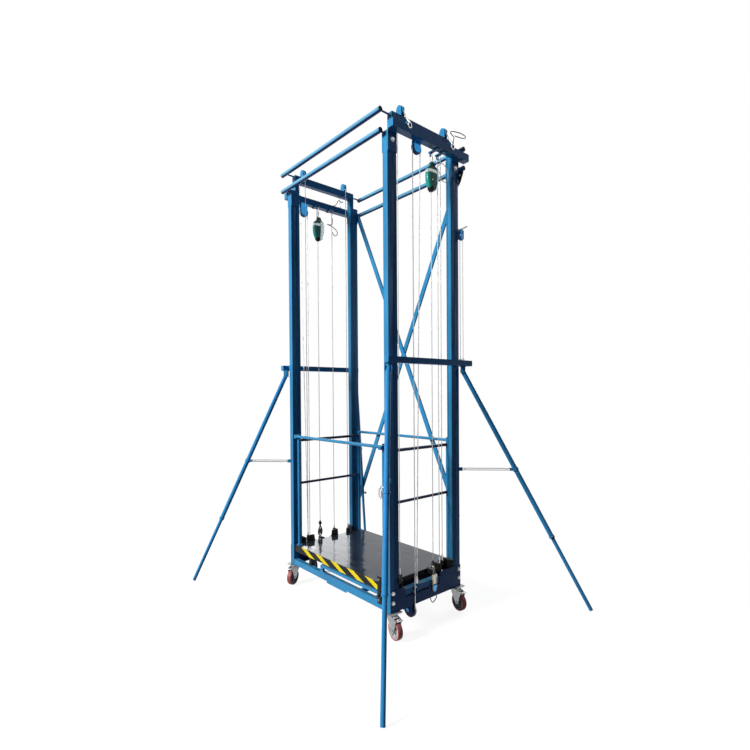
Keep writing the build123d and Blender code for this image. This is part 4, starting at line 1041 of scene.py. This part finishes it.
over = bmesh.new()
drop = bmesh.new()
for end, name in side_names.items():
    pin_z = beam_level[end] + eye_pin_rise
    climb = bmesh.new()
    eyes = bmesh.new()
    for y in (-ear_y, ear_y):
        pin, top = Vector((end * eye_pin_x, y, pin_z)), Vector((end * ear_outer, y, ear_z))
        crest = bow((end * ear_x, y, ear_z), along_x * end, along_z, ear_radius, (0, 180), 0.004)
        rope(over, crest, thin_radius)
        rope(drop, straight((end * ear_inner, y, ear_z), (end * ear_inner, y, block_top)), thin_radius)
        lean = (top - pin).normalized()
        level = along_y.cross(lean)
        rope(climb, straight(pin + lean * 0.010, top), thin_radius)
        bight = ring_line(pin, lean * bight_radius, level * bight_radius, 22)
        rope(climb, bight, thin_radius, closed=True)
        hang = Vector((end * thimble_x, y + 0.006, pin_z - 0.017))
        thimble = []
        for step in range(30):
            turn = 2 * math.pi * step / 30
            tall = thimble_low if math.cos(turn) < 0 else thimble_high
            thimble.append(hang + along_z * tall * math.cos(turn)
                           + along_y * thimble_half * math.sin(turn))
        sweep(eyes, thimble, circle(thimble_wire, 10), closed=True)
        lathe(eyes, eye_bolt, hang, along_x * end, 6, paint=1)
        ferrule_on(eyes, hang + Vector((0, -0.002, 0.020)), pin + lean * 0.040, 0.0056)
    piece = new_piece("anchor_rope_" + name, climb, [wire], None)
    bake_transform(piece)
    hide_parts("carriage_anchors")
    new_piece("anchor_eyes_" + name, eyes, [thimble_zinc, iron_black], "frame")
piece = new_piece("sheave_rope", over, [wire], "inner_stage")
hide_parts("carriage_falls")
piece = new_piece("carriage_rope", drop, [wire], "inner_stage")
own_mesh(piece)
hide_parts("carriage_falls")

# Fall arresters: housings in two halves, one of green plastic and one of bright alloy, with
# a dark cap, an alloy band and a rubber nozzle. Each hangs from its beam by a steel link, and
# a plain safety line with a clamped tail hangs beside it.
arrester_x, arrester_y, safety_y = 0.579, {1: 0.080, -1: -0.068}, {1: 0.145, -1: 0.078}
hanger_hole = {end: level - 0.020 for end, level in beam_level.items()}
link_drop, arrester_drop, housing_height, housing_offset = 0.048, {1: 0.0, -1: 0.031}, 0.190, 0.010
half_line, band_low, band_high, cap_band = {1: 0.024, -1: 0.0}, 0.110, 0.131, 0.150
housing_profile = [(0.000, 0.022, 0.016), (0.006, 0.030, 0.020), (0.022, 0.043, 0.0235),
                   (0.050, 0.0525, 0.0265), (0.085, 0.0560, 0.0278), (0.108, 0.0557, 0.0278),
                   (0.110, 0.0556, 0.0278), (0.130, 0.0530, 0.0271), (0.134, 0.0520, 0.0268)]
cap_profile = [(0.134, 0.0505, 0.0262), (0.146, 0.0460, 0.0245), (0.156, 0.0330, 0.0215),
               (0.163, 0.0230, 0.0185), (0.180, 0.0195, 0.0165), (0.189, 0.0140, 0.0120)]
nozzle_profile = [(-0.012, 0.0075), (-0.0115, 0.0135), (-0.004, 0.0190), (0.004, 0.0235), (0.016, 0.0250)]
boss_profile = [(0.186, 0.0105), (0.190, 0.0110), (0.194, 0.0085), (0.198, 0.0070)]
screw_y, screw_middle, screw_rise, screw_out, shell_screw = 0.022, 0.085, 0.025, 0.0262, (0.008, 0.0025)
link_half, link_top, link_low, link_wire = 0.011, 0.022, -0.016, 0.0034
link_sleeve = [(-0.012, 0.0052), (-0.012, 0.0068), (0.012, 0.0068), (0.012, 0.0052)]
ball_z, ball_radius, shell_seam = {1: 0.373, -1: 0.447}, 0.015, 0.0012
green, dark, pale, rubber, bright = range(5)
green_shell = moulded("green_shell", (0.012, 0.43, 0.350, 1), 0.22, drift=0.14, rub=0.4,
                      worn=(0.08, 0.30, 0.22, 1), dust=0.15)
green_cap = moulded("green_cap", (0.006, 0.135, 0.110, 1), 0.26, drift=0.14, rub=0.3,
                    worn=(0.05, 0.18, 0.13, 1), dust=0.2)
pale_shell = plated_steel("pale_shell", (0.60, 0.72, 0.71, 1), cells=90.0, dust=0.1, rub=0.2)


def shell(mesh, profile, place, paint_of, sides=40):
    """Flattened turned form: half widths along Y and X at each height."""
    rings = []
    for z, wide, deep in profile:
        ring = []
        for step in range(sides):
            turn = 2 * math.pi * step / sides
            x, y = (math.copysign(abs(part) ** 0.75, part) for part in (math.sin(turn), math.cos(turn)))
            ring.append(mesh.verts.new(place + Vector((deep * x, wide * y, z))))
        rings.append(ring)
    for face in skin(mesh, rings, 0, True):
        face.material_index = paint_of(face.calc_center_median() - place)


def flow(points, count=14):
    """Smooth line through points."""
    points = [Vector(point) for point in points]
    ends = [points[0] * 2 - points[1]] + points + [points[-1] * 2 - points[-2]]
    line = []
    for a, b, c, d in zip(ends, ends[1:], ends[2:], ends[3:]):
        for step in range(count):
            t = step / count
            line.append(0.5 * (2 * b + (c - a) * t + (2 * a - 5 * b + 4 * c - d) * t * t
                               + (3 * b - a - 3 * c + d) * t ** 3))
    return line + [points[-1]]


line_runs = {}
for end, name in side_names.items():
    y, hole, hang, split = arrester_y[end], hanger_hole[end], arrester_drop[end], half_line[end]
    housing_low = hole - link_drop - hang - housing_height
    low = Vector((arrester_x * end, y, housing_low))
    place = Vector((arrester_x * end, y + housing_offset, housing_low))
    unit = bmesh.new()
    shell(unit, housing_profile, place,
          lambda at: pale if at.y > split or band_low < at.z < band_high else green)
    shell(unit, cap_profile, place, lambda at: pale if at.y > split and at.z < cap_band else dark)
    for face_side in (-1, 1):
        seam = []
        for z, wide, deep in housing_profile[2:]:
            bulge = deep * max(0.0, 1 - (abs(split) / wide) ** 2.67) ** 0.375 * 1.01
            seam.append(place + Vector((bulge * face_side, split, z)))
        sweep(unit, seam, circle(shell_seam, 6), paint=rubber)
    lathe(unit, nozzle_profile, low, along_z, 24, paint=rubber)
    for a, b in corners:
        screw = place + Vector((screw_out * end, screw_y * a, screw_middle + screw_rise * b))
        hex_nut(unit, screw, along_x * end, shell_screw, paint=bright)
    lathe(unit, boss_profile, low, along_z, 20, paint=bright)
    middle = Vector((arrester_x * end, y, hole - 0.030))
    foot = link_low - hang
    link = long_loop(middle + along_z * foot, middle + along_z * link_top, along_x, link_half, 0.002)
    sweep(unit, link, circle(link_wire, 10), closed=True, paint=bright)
    sleeve = middle + along_x * link_half + along_z * (foot / 2 + 0.004)
    lathe(unit, link_sleeve, sleeve, along_z, 16, ring=True, paint=bright)
    finishes = [green_shell, green_cap, pale_shell, black_moulded, bolt_zinc]
    piece = new_piece("arrester_" + name, unit, finishes, "frame")
    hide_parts("fall_arresters")
    line_runs["arrester_" + name] = (end, y, housing_low + nozzle_profile[0][0], ball_z[end] + ball_radius)
for end, name in side_names.items():
    line_runs["safety_" + name] = (end, safety_y[end], hanger_hole[end] - 0.012, block_top)

for name, (end, y, top, low) in line_runs.items():
    line = bmesh.new()
    rope(line, straight((arrester_x * end, y, top), (arrester_x * end, y, low)), thin_radius)
    piece = new_piece("line_" + name, line, [wire], "frame")
    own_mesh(piece)
    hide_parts("arrester_lines")

# Rope tails: the eyes at the top of the safety lines with two clamps each, one short bight of
# the wire, and stiff loose ends of a dark cord that were left standing when the ropes were tied.
eye_radius, eye_wire, cord_radius, bight_wire = 0.0102, 0.0022, 0.0031, 0.0027
clamp_drops, clamp_length, clamp_radius = (0.016, 0.048), 0.014, 0.0052
cord_runs = (
    ((-0.579, 0.084, 3.062), (-0.578, 0.080, 3.012), (-0.575, 0.052, 3.000), (-0.573, 0.024, 2.997)),
    ((-0.577, 0.036, 2.998), (-0.574, 0.078, 2.988), (-0.573, 0.118, 2.968), (-0.573, 0.133, 2.944),
     (-0.573, 0.116, 2.918), (-0.574, 0.094, 2.918), (-0.576, 0.083, 2.942)),
    ((-0.616, 0.114, 3.188), (-0.612, 0.140, 3.198), (-0.610, 0.160, 3.226), (-0.609, 0.173, 3.247),
     (-0.610, 0.195, 3.246), (-0.611, 0.207, 3.238), (-0.612, 0.226, 3.252)),
    ((0.648, 0.214, 3.258), (0.641, 0.243, 3.292), (0.637, 0.250, 3.325), (0.635, 0.218, 3.345),
     (0.633, 0.245, 3.363), (0.632, 0.290, 3.374), (0.632, 0.340, 3.381), (0.633, 0.378, 3.377),
     (0.635, 0.380, 3.362), (0.636, 0.350, 3.350), (0.637, 0.300, 3.341), (0.638, 0.262, 3.336)))
wire_bight = ((0.579, 0.150, 3.112), (0.582, 0.186, 3.142), (0.584, 0.232, 3.124), (0.585, 0.250, 3.066),
              (0.584, 0.228, 3.024), (0.582, 0.194, 3.028), (0.580, 0.172, 3.064), (0.579, 0.150, 3.096))
tail_cord = moulded("tail_cord", (0.105, 0.100, 0.135, 1), 0.6, drift=0.2, rub=0.2,
                    dust=0.2, grain=1500.0)
tails = bmesh.new()
for end, hole in hanger_hole.items():
    hanging = Vector((arrester_x * end, safety_y[end], hole))
    eye = ring_line(hanging - along_z * 0.0002, along_z * eye_radius, along_x * eye_radius, 24)
    sweep(tails, eye, circle(eye_wire, 8), closed=True)
    for clamp in clamp_drops:
        high = hanging - along_z * clamp
        ferrule_on(tails, high - along_z * clamp_length, high, clamp_radius, paint=1)
for points in cord_runs:
    sweep(tails, flow(points), circle(cord_radius, 8), paint=2)
rope(tails, flow(wire_bight), bight_wire)
new_piece("rope_tails", tails, [wire, ferrule_alloy, tail_cord], "frame")

# Hoist line: a small blue pulley block on a zinc bracket on the back corner post, with a
# taut line in two falls down to ferrules at the end of the mid beam.
block_place = Vector((0.617, 0.352, 2.672))
block_outline, cheek_places, cheek_plate = rounded(0.034, 0.076, 0.016, 6), (-0.0085, 0.0055), 0.003
wheel_profile = [(-0.005, 0.0145), (-0.003, 0.0145), (0.0, 0.0115), (0.003, 0.0145), (0.005, 0.0145)]
axle_profile = [(-0.012, 0.004), (-0.0115, 0.0055), (0.0115, 0.0055), (0.012, 0.004)]
arm_outline = [(-0.020, 0.034), (0.050, 0.046), (0.052, 0.051), (-0.020, 0.042)]
foot_outline = [(-0.020, -0.03), (-0.016, -0.03), (-0.016, 0.046), (-0.020, 0.046)]
hoist_half, hoist_radius, hoist_end = 0.0125, 0.0022, mid_level + mid_size + 0.001
cheek_edge, arm_depth, foot_depth = 0.0008, 0.014, 0.022
hoist_ferrule = [(0, 0.006), (0.002, 0.010), (0.012, 0.010), (0.016, 0.006)]
pulley = bmesh.new()
for cheek in cheek_places:
    slab(pulley, block_outline, block_place + along_y * cheek, along_x, along_z, -cheek_plate)
soften(pulley, cheek_edge)
lathe(pulley, wheel_profile, block_place, along_y, 24, paint=1)
lathe(pulley, axle_profile, block_place, along_y, 12, paint=1)
slab(pulley, arm_outline, block_place + along_y * 0.006, along_x, along_z, arm_depth, paint=1)
slab(pulley, foot_outline, block_place + along_y * 0.008, along_x, along_z, foot_depth, paint=1)
new_piece("hoist_pulley", pulley, [blue_gloss, zinc], "frame")
hoist = bmesh.new()
for offset in (-hoist_half, hoist_half):
    top = block_place + along_x * offset
    rope(hoist, straight(top, (top.x, top.y, hoist_end)), hoist_radius)
for offset in (-hoist_half, hoist_half):
    foot = (block_place.x + offset, block_place.y, hoist_end - 0.002)
    lathe(hoist, hoist_ferrule, foot, along_z, 12, paint=1)
new_piece("hoist_line", hoist, [wire, ferrule_alloy], "frame")

# Deck: a steel plate under a dark glossy coating on a black tube frame, with striped
# tape along the entry edge. The coating is smooth enough to mirror the posts, with
# faint waves and scuffs from boots.
coating_dark, coating_tint = (0.018, 0.025, 0.040, 1), (0.80, 0.88, 1.0, 1)
tape_yellow, tape_black = (0.83, 0.66, 0.012, 1), (0.010, 0.010, 0.011, 1)
scuff_grey, tape_worn = (0.22, 0.22, 0.22, 1), (0.10, 0.10, 0.10, 1)
stripe_slant, stripe_start, stripe_pitch = 2.27, -0.6831, 0.198
stripe_share, stripe_first = 0.40, -0.455
end_strip_x, end_strip_depth = 0.5250, 0.0045
end_strip_outline = [(-0.215, 0.258), (-0.205, 0.252), (0.205, 0.252),
                 (0.215, 0.258), (0.215, 0.2803), (-0.215, 0.2803)]
coating, tree, surface = new_finish("deck_coating")
film = placed(tree, film_drift, Colour=coating_dark, Drift=0.25, Gloss=0.08, Grain=700.0)
dusty = placed(tree, dust_settle, Amount=0.10, Cloud=7.0)["Mask"]
place = place_on(tree)
dragged = noise(tree, stretched(tree, place, (6.0, 46.0, 6.0)), 1.6, 6.0)
scuffs = spread(tree, dragged, 0.56, 0.70, 0.0, 0.5)
walked = mixed(tree, either(tree, dusty, times(tree, scuffs, 0.22)), film["Colour"], scuff_grey)
dulled = plus(tree, film["Roughness"], times(tree, either(tree, dusty, scuffs), 0.3))
waves = noise(tree, stretched(tree, place, (4.0, 11.0, 4.0)), 1.0, 2.0)
ripple = node(tree, "Bump", {"Height": waves, "Strength": 0.34, "Distance": 0.007})
tree.links.new(walked, surface["Base Color"])
tree.links.new(dulled, surface["Roughness"])
tree.links.new(ripple.outputs[0], surface["Normal"])
surface["IOR"].default_value = 1.38
surface["Specular Tint"].default_value = coating_tint

tape, tree, surface = new_finish("striped_tape")
place = place_on(tree)
axes = node(tree, "SeparateXYZ", {0: place}).outputs
slant = figure(tree, "MULTIPLY_ADD", axes["Z"], stripe_slant, axes["X"])
ragged = figure(tree, "MULTIPLY_ADD", noise(tree, place, 120.0, 2.0), 0.003, slant)
run = figure(tree, "SUBTRACT", ragged, stripe_start)
share = figure(tree, "FRACT", figure(tree, "DIVIDE", run, stripe_pitch))
yellow = figure(tree, "LESS_THAN", share, stripe_share)
yellow = times(tree, yellow, figure(tree, "GREATER_THAN", axes["X"], stripe_first))
print_tone = placed(tree, film_drift, Colour=tape_yellow, Drift=0.10, Gloss=0.30)
worn = placed(tree, edge_rub, Amount=0.7, Width=0.004)["Mask"]
dusty = placed(tree, dust_settle, Amount=0.35)["Mask"]
striped = mixed(tree, worn, mixed(tree, yellow, tape_black, print_tone["Colour"]), tape_worn)
dulled = plus(tree, print_tone["Roughness"], times(tree, either(tree, worn, dusty), 0.3))
tree.links.new(mixed(tree, dusty, striped, dust_tone), surface["Base Color"])
tree.links.new(dulled, surface["Roughness"])
surface["Specular IOR Level"].default_value = 0.12
dress(coating, fine_edge, "deck_plate")
dress(tape, no_edge, "edge_strip")
dress(black_enamel, broad_edge, "deck_frame")
dress(nylon_black, broad_edge, "guide_shoes")
# Painted shade: a thin black strip under each end of the deck closes the gap below it, standing in for the
# shade under the deck and the dark winch parts beyond.
end_strips = bmesh.new()
for end in (-1, 1):
    slab(end_strips, end_strip_outline, along_x * end_strip_x * end, along_y, along_z, end_strip_depth * end)
new_piece("deck_end_dark_strips", end_strips, [black_moulded], "platform")

# Rope blocks: black welded steel blocks on both ends of the deck that take the rope
# ends in pressed sockets, and the snap hooks of the arrester lines, each below a
# rubber stop ball.
deck_end, plate_depth, inner_reach, outer_reach = 0.530, 0.016, 0.5625, 0.591
wide_block, slim_block = (0.074, 0.018, block_top), (0.030, 0.004, block_top - 0.016)
block_rows = ((-1, -ear_y, wide_block, inner_reach, ear_inner),
              (-1, ear_y, slim_block, inner_reach, ear_inner),
              (1, -ear_y, slim_block, inner_reach, ear_inner),
              (1, ear_y, slim_block, inner_reach, ear_inner),
              (1, safety_y[1], slim_block, outer_reach, arrester_x),
              (-1, safety_y[-1], wide_block, outer_reach, arrester_x))
block_low, block_heel, block_waist, core_width, core_low = 0.300, 0.327, 0.333, 0.0158, 0.301
stub_outline, stub_level, stub_reach = rounded(0.024, 0.035, 0.003), 0.3175, 0.061
stub_top, stub_seam_half, block_nut, block_edge = 0.335, 0.011, (0.011, 0.005), 0.0018
ball_profile = [(-0.0150, 0.0030), (-0.0135, 0.0065), (-0.0095, 0.0116), (-0.0015, 0.0149),
                (-0.0008, 0.0142), (0.0008, 0.0142), (0.0015, 0.0149), (0.0095, 0.0116),
                (0.0135, 0.0068), (0.0160, 0.0060), (0.0230, 0.0052)]
swivel_profile = [(0.0, 0.0060), (-0.006, 0.0085), (-0.014, 0.0085), (-0.020, 0.0060)]
right_hook = ((0.583, 0.082, 0.350), (0.594, 0.080, 0.322), (0.606, 0.080, 0.296),
              (0.6097, 0.083, 0.262), (0.6097, 0.082, 0.226), (0.6097, 0.072, 0.200),
              (0.6097, 0.058, 0.197), (0.6097, 0.044, 0.214), (0.6097, 0.042, 0.258),
              (0.606, 0.050, 0.296), (0.594, 0.066, 0.322), (0.583, 0.078, 0.350))
left_hook = ((-0.579, -0.068, 0.420), (-0.579, -0.056, 0.402), (-0.579, -0.050, 0.378),
             (-0.579, -0.056, 0.350), (-0.579, -0.072, 0.343), (-0.579, -0.084, 0.358),
             (-0.579, -0.085, 0.384), (-0.579, -0.076, 0.408), (-0.579, -0.068, 0.422))
right_hook_wire, left_hook_wire = 0.0043, 0.0058
alloy, brass_tone, dark_steel, blue_sleeve = range(4)
hook_plates = ((rounded(0.050, 0.066, 0.010), (0.6062, 0.062, 0.280), 0.004, brass_tone),
               (rounded(0.022, 0.030, 0.006), (0.6102, 0.056, 0.292), 0.0022, alloy),
               (rounded(0.034, 0.044, 0.010), (0.6066, 0.063, 0.218), 0.0060, blue_sleeve))
left_gate, left_gate_depth = rounded(0.026, 0.044, 0.008), 0.005
left_gate_place = (-0.5815, -0.0675, 0.378)
hook_steel = plated_steel("hook_steel", (0.62, 0.56, 0.44, 1), cells=180.0, dust=0.2)
hook_dark = plated_steel("hook_dark", (0.13, 0.12, 0.11, 1), cells=180.0, dust=0.2)
hook_sleeve = plated_steel("hook_sleeve", (0.11, 0.42, 0.80, 1), cells=300.0, dust=0.1, rub=0.2)
blocks = bmesh.new()
fittings = bmesh.new()
for end, y, (width, step_in, crown), reach, rope_x in block_rows:
    inward = 1 if y < 0 else -1
    near, far, shoulder = y - inward * 0.008, y + inward * width, inward * step_in
    outline = [(near, block_low), (far, block_low), (far, block_heel), (far - shoulder, block_waist),
               (far - shoulder * 1.4, crown), (near + inward * 0.003, crown), (near, block_waist)]
    slab(blocks, outline, along_x * deck_end * end, along_y, along_z, plate_depth * end)
    core = rounded(core_width, crown - core_low, 0.004)
    plate_face = (deck_end + plate_depth) * end
    core_middle = (plate_face, y, (crown + core_low) / 2)
    slab(blocks, core, core_middle, along_y, along_z, reach * end - plate_face)
    ferrule_on(fittings, (rope_x * end, y, crown - 0.002), (rope_x * end, y, block_top + 0.026), 0.0050)
    hex_nut(fittings, (plate_face, y + inward * 0.016, 0.320), along_x * end, block_nut)
for end, y in arrester_y.items():
    slab(blocks, stub_outline, (deck_end * end, y, stub_level), along_y, along_z, stub_reach * end)
soften(blocks, block_edge)
for end, y in arrester_y.items():
    seam = (deck_end * end, y - stub_seam_half, stub_top)
    weld_bead(blocks, seam, along_y * 2 * stub_seam_half, bead_thin)
    lathe(blocks, ball_profile, (arrester_x * end, y, ball_z[end]), along_z, 28)
    swivel = (arrester_x * end, y, ball_z[end] - 0.012)
    lathe(fittings, swivel_profile, swivel, along_z, 18, paint=brass_tone if end > 0 else dark_steel)

sweep(fittings, flow(right_hook), circle(right_hook_wire, 10), paint=dark_steel)
for outline, place, depth, paint in hook_plates:
    slab(fittings, outline, place, along_y, along_z, depth, paint=paint)
sweep(fittings, flow(left_hook), circle(left_hook_wire, 12), paint=dark_steel)
slab(fittings, left_gate, left_gate_place, along_y, along_z, left_gate_depth, paint=dark_steel)
piece = new_piece("rope_end_blocks", blocks, [black_enamel], "platform")
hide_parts("rope_blocks")
finishes = [ferrule_alloy, hook_steel, hook_dark, hook_sleeve]
piece = new_piece("rope_end_fittings", fittings, finishes, "platform")
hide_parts("rope_blocks")

# Guard: welded tube posts and rails round the deck, closed by moulded caps. The back
# rail, the posts and the lift-up gate bar are blue, and the rails of both ends are black.
guard_x, guard_y, guard_top, end_rail_y = 0.515, 0.310, 1.219, 0.2972
rail_black = (0.008, 0.009, 0.012, 1)
post_cap = [(0.0, 0.0126), (0.0004, 0.0130), (0.003, 0.0130), (0.005, 0.0105), (0.0058, 0.0006)]
guard_paint = enamel("guard_paint", enamel_blue, dust=0.3)
tree = guard_paint.node_tree
film = next(made for made in tree.nodes if made.type == "GROUP" and made.node_tree == film_drift)
sideways = figure(tree, "ABSOLUTE", part_of(tree, place_on(tree), "Y"))
on_end = figure(tree, "LESS_THAN", sideways, end_rail_y)
tree.links.new(mixed(tree, on_end, enamel_blue, rail_black), film.inputs["Colour"])
dress(guard_paint, no_edge, "guard_rails")
dress(blue_gloss, no_edge, "gate_bar")
caps = bmesh.new()
for end, side in corners:
    lathe(caps, post_cap, (guard_x * end, guard_y * side, guard_top), along_z, 20)
new_piece("guard_post_caps", caps, [black_moulded], "platform")

# Small fittings: a black stop plate bolted beside the entry, a zinc snap hook that hangs
# on a wire hoop round a guard post, and a bent tie of dark wire at the drive end.
stop_x, stop_back, stop_depth = 0.504, -0.3425, 0.005
stop_outline, stop_level = rounded(0.038, 0.176, 0.004), 0.284
stop_bolts, stop_nut = (0.352, 0.222), (0.013, 0.006)
packing_outline, packing_back, packing_depth = rounded(0.030, 0.020, 0.003), -0.3400, 0.0027
snap_place, snap_wire = Vector((0.499, -0.330, 0.908)), 0.0042
snap_bends = ((0.004, 0, 0.020), (0.010, 0, 0.012), (0.011, 0, -0.020), (0.002, 0, -0.036),
              (-0.009, 0, -0.028), (-0.010, 0, 0.010), (-0.003, 0, 0.030), (0.006, 0, 0.026))
snap_neck = [(0.0, 0.0045), (0.004, 0.0065), (0.012, 0.0065), (0.016, 0.0045)]
neck_place = Vector((0.002, 0, 0.026))
hoop_level, hoop_radius, hoop_tilt, hoop_wire = 0.950, 0.0165, 0.004, 0.0024
tie_bends = ((0.6035, 0.022, 0.170), (0.608, 0.024, 0.150), (0.609, 0.040, 0.128),
             (0.609, 0.060, 0.134), (0.608, 0.080, 0.150), (0.6035, 0.082, 0.172))
tie_wire = 0.0034
stops = bmesh.new()
slab(stops, stop_outline, (stop_x, stop_back, stop_level), along_x, along_z, stop_depth)
soften(stops, fine_edge)
for z in stop_bolts:
    hex_nut(stops, (stop_x, stop_back - stop_depth, z), -along_y, stop_nut, paint=1)
slab(stops, packing_outline, (stop_x, packing_back, stop_bolts[1]), along_x, along_z, packing_depth)
new_piece("entry_stop_plate", stops, [black_enamel, zinc], "frame")
snap = bmesh.new()
sweep(snap, flow([snap_place + Vector(bend) for bend in snap_bends]), circle(snap_wire, 10))
lathe(snap, snap_neck, snap_place + neck_place, along_z, 16)
hoop = ring_line((guard_x, -guard_y, hoop_level), along_x * hoop_radius,
                 along_y * hoop_radius + along_z * hoop_tilt, 40)
sweep(snap, hoop, circle(hoop_wire, 8), closed=True)
new_piece("guard_snap_hook", snap, [bolt_zinc], "platform")
tie = bmesh.new()
sweep(tie, flow(tie_bends), circle(tie_wire, 8))
new_piece("end_tie_loop", tie, [hook_dark], "frame")
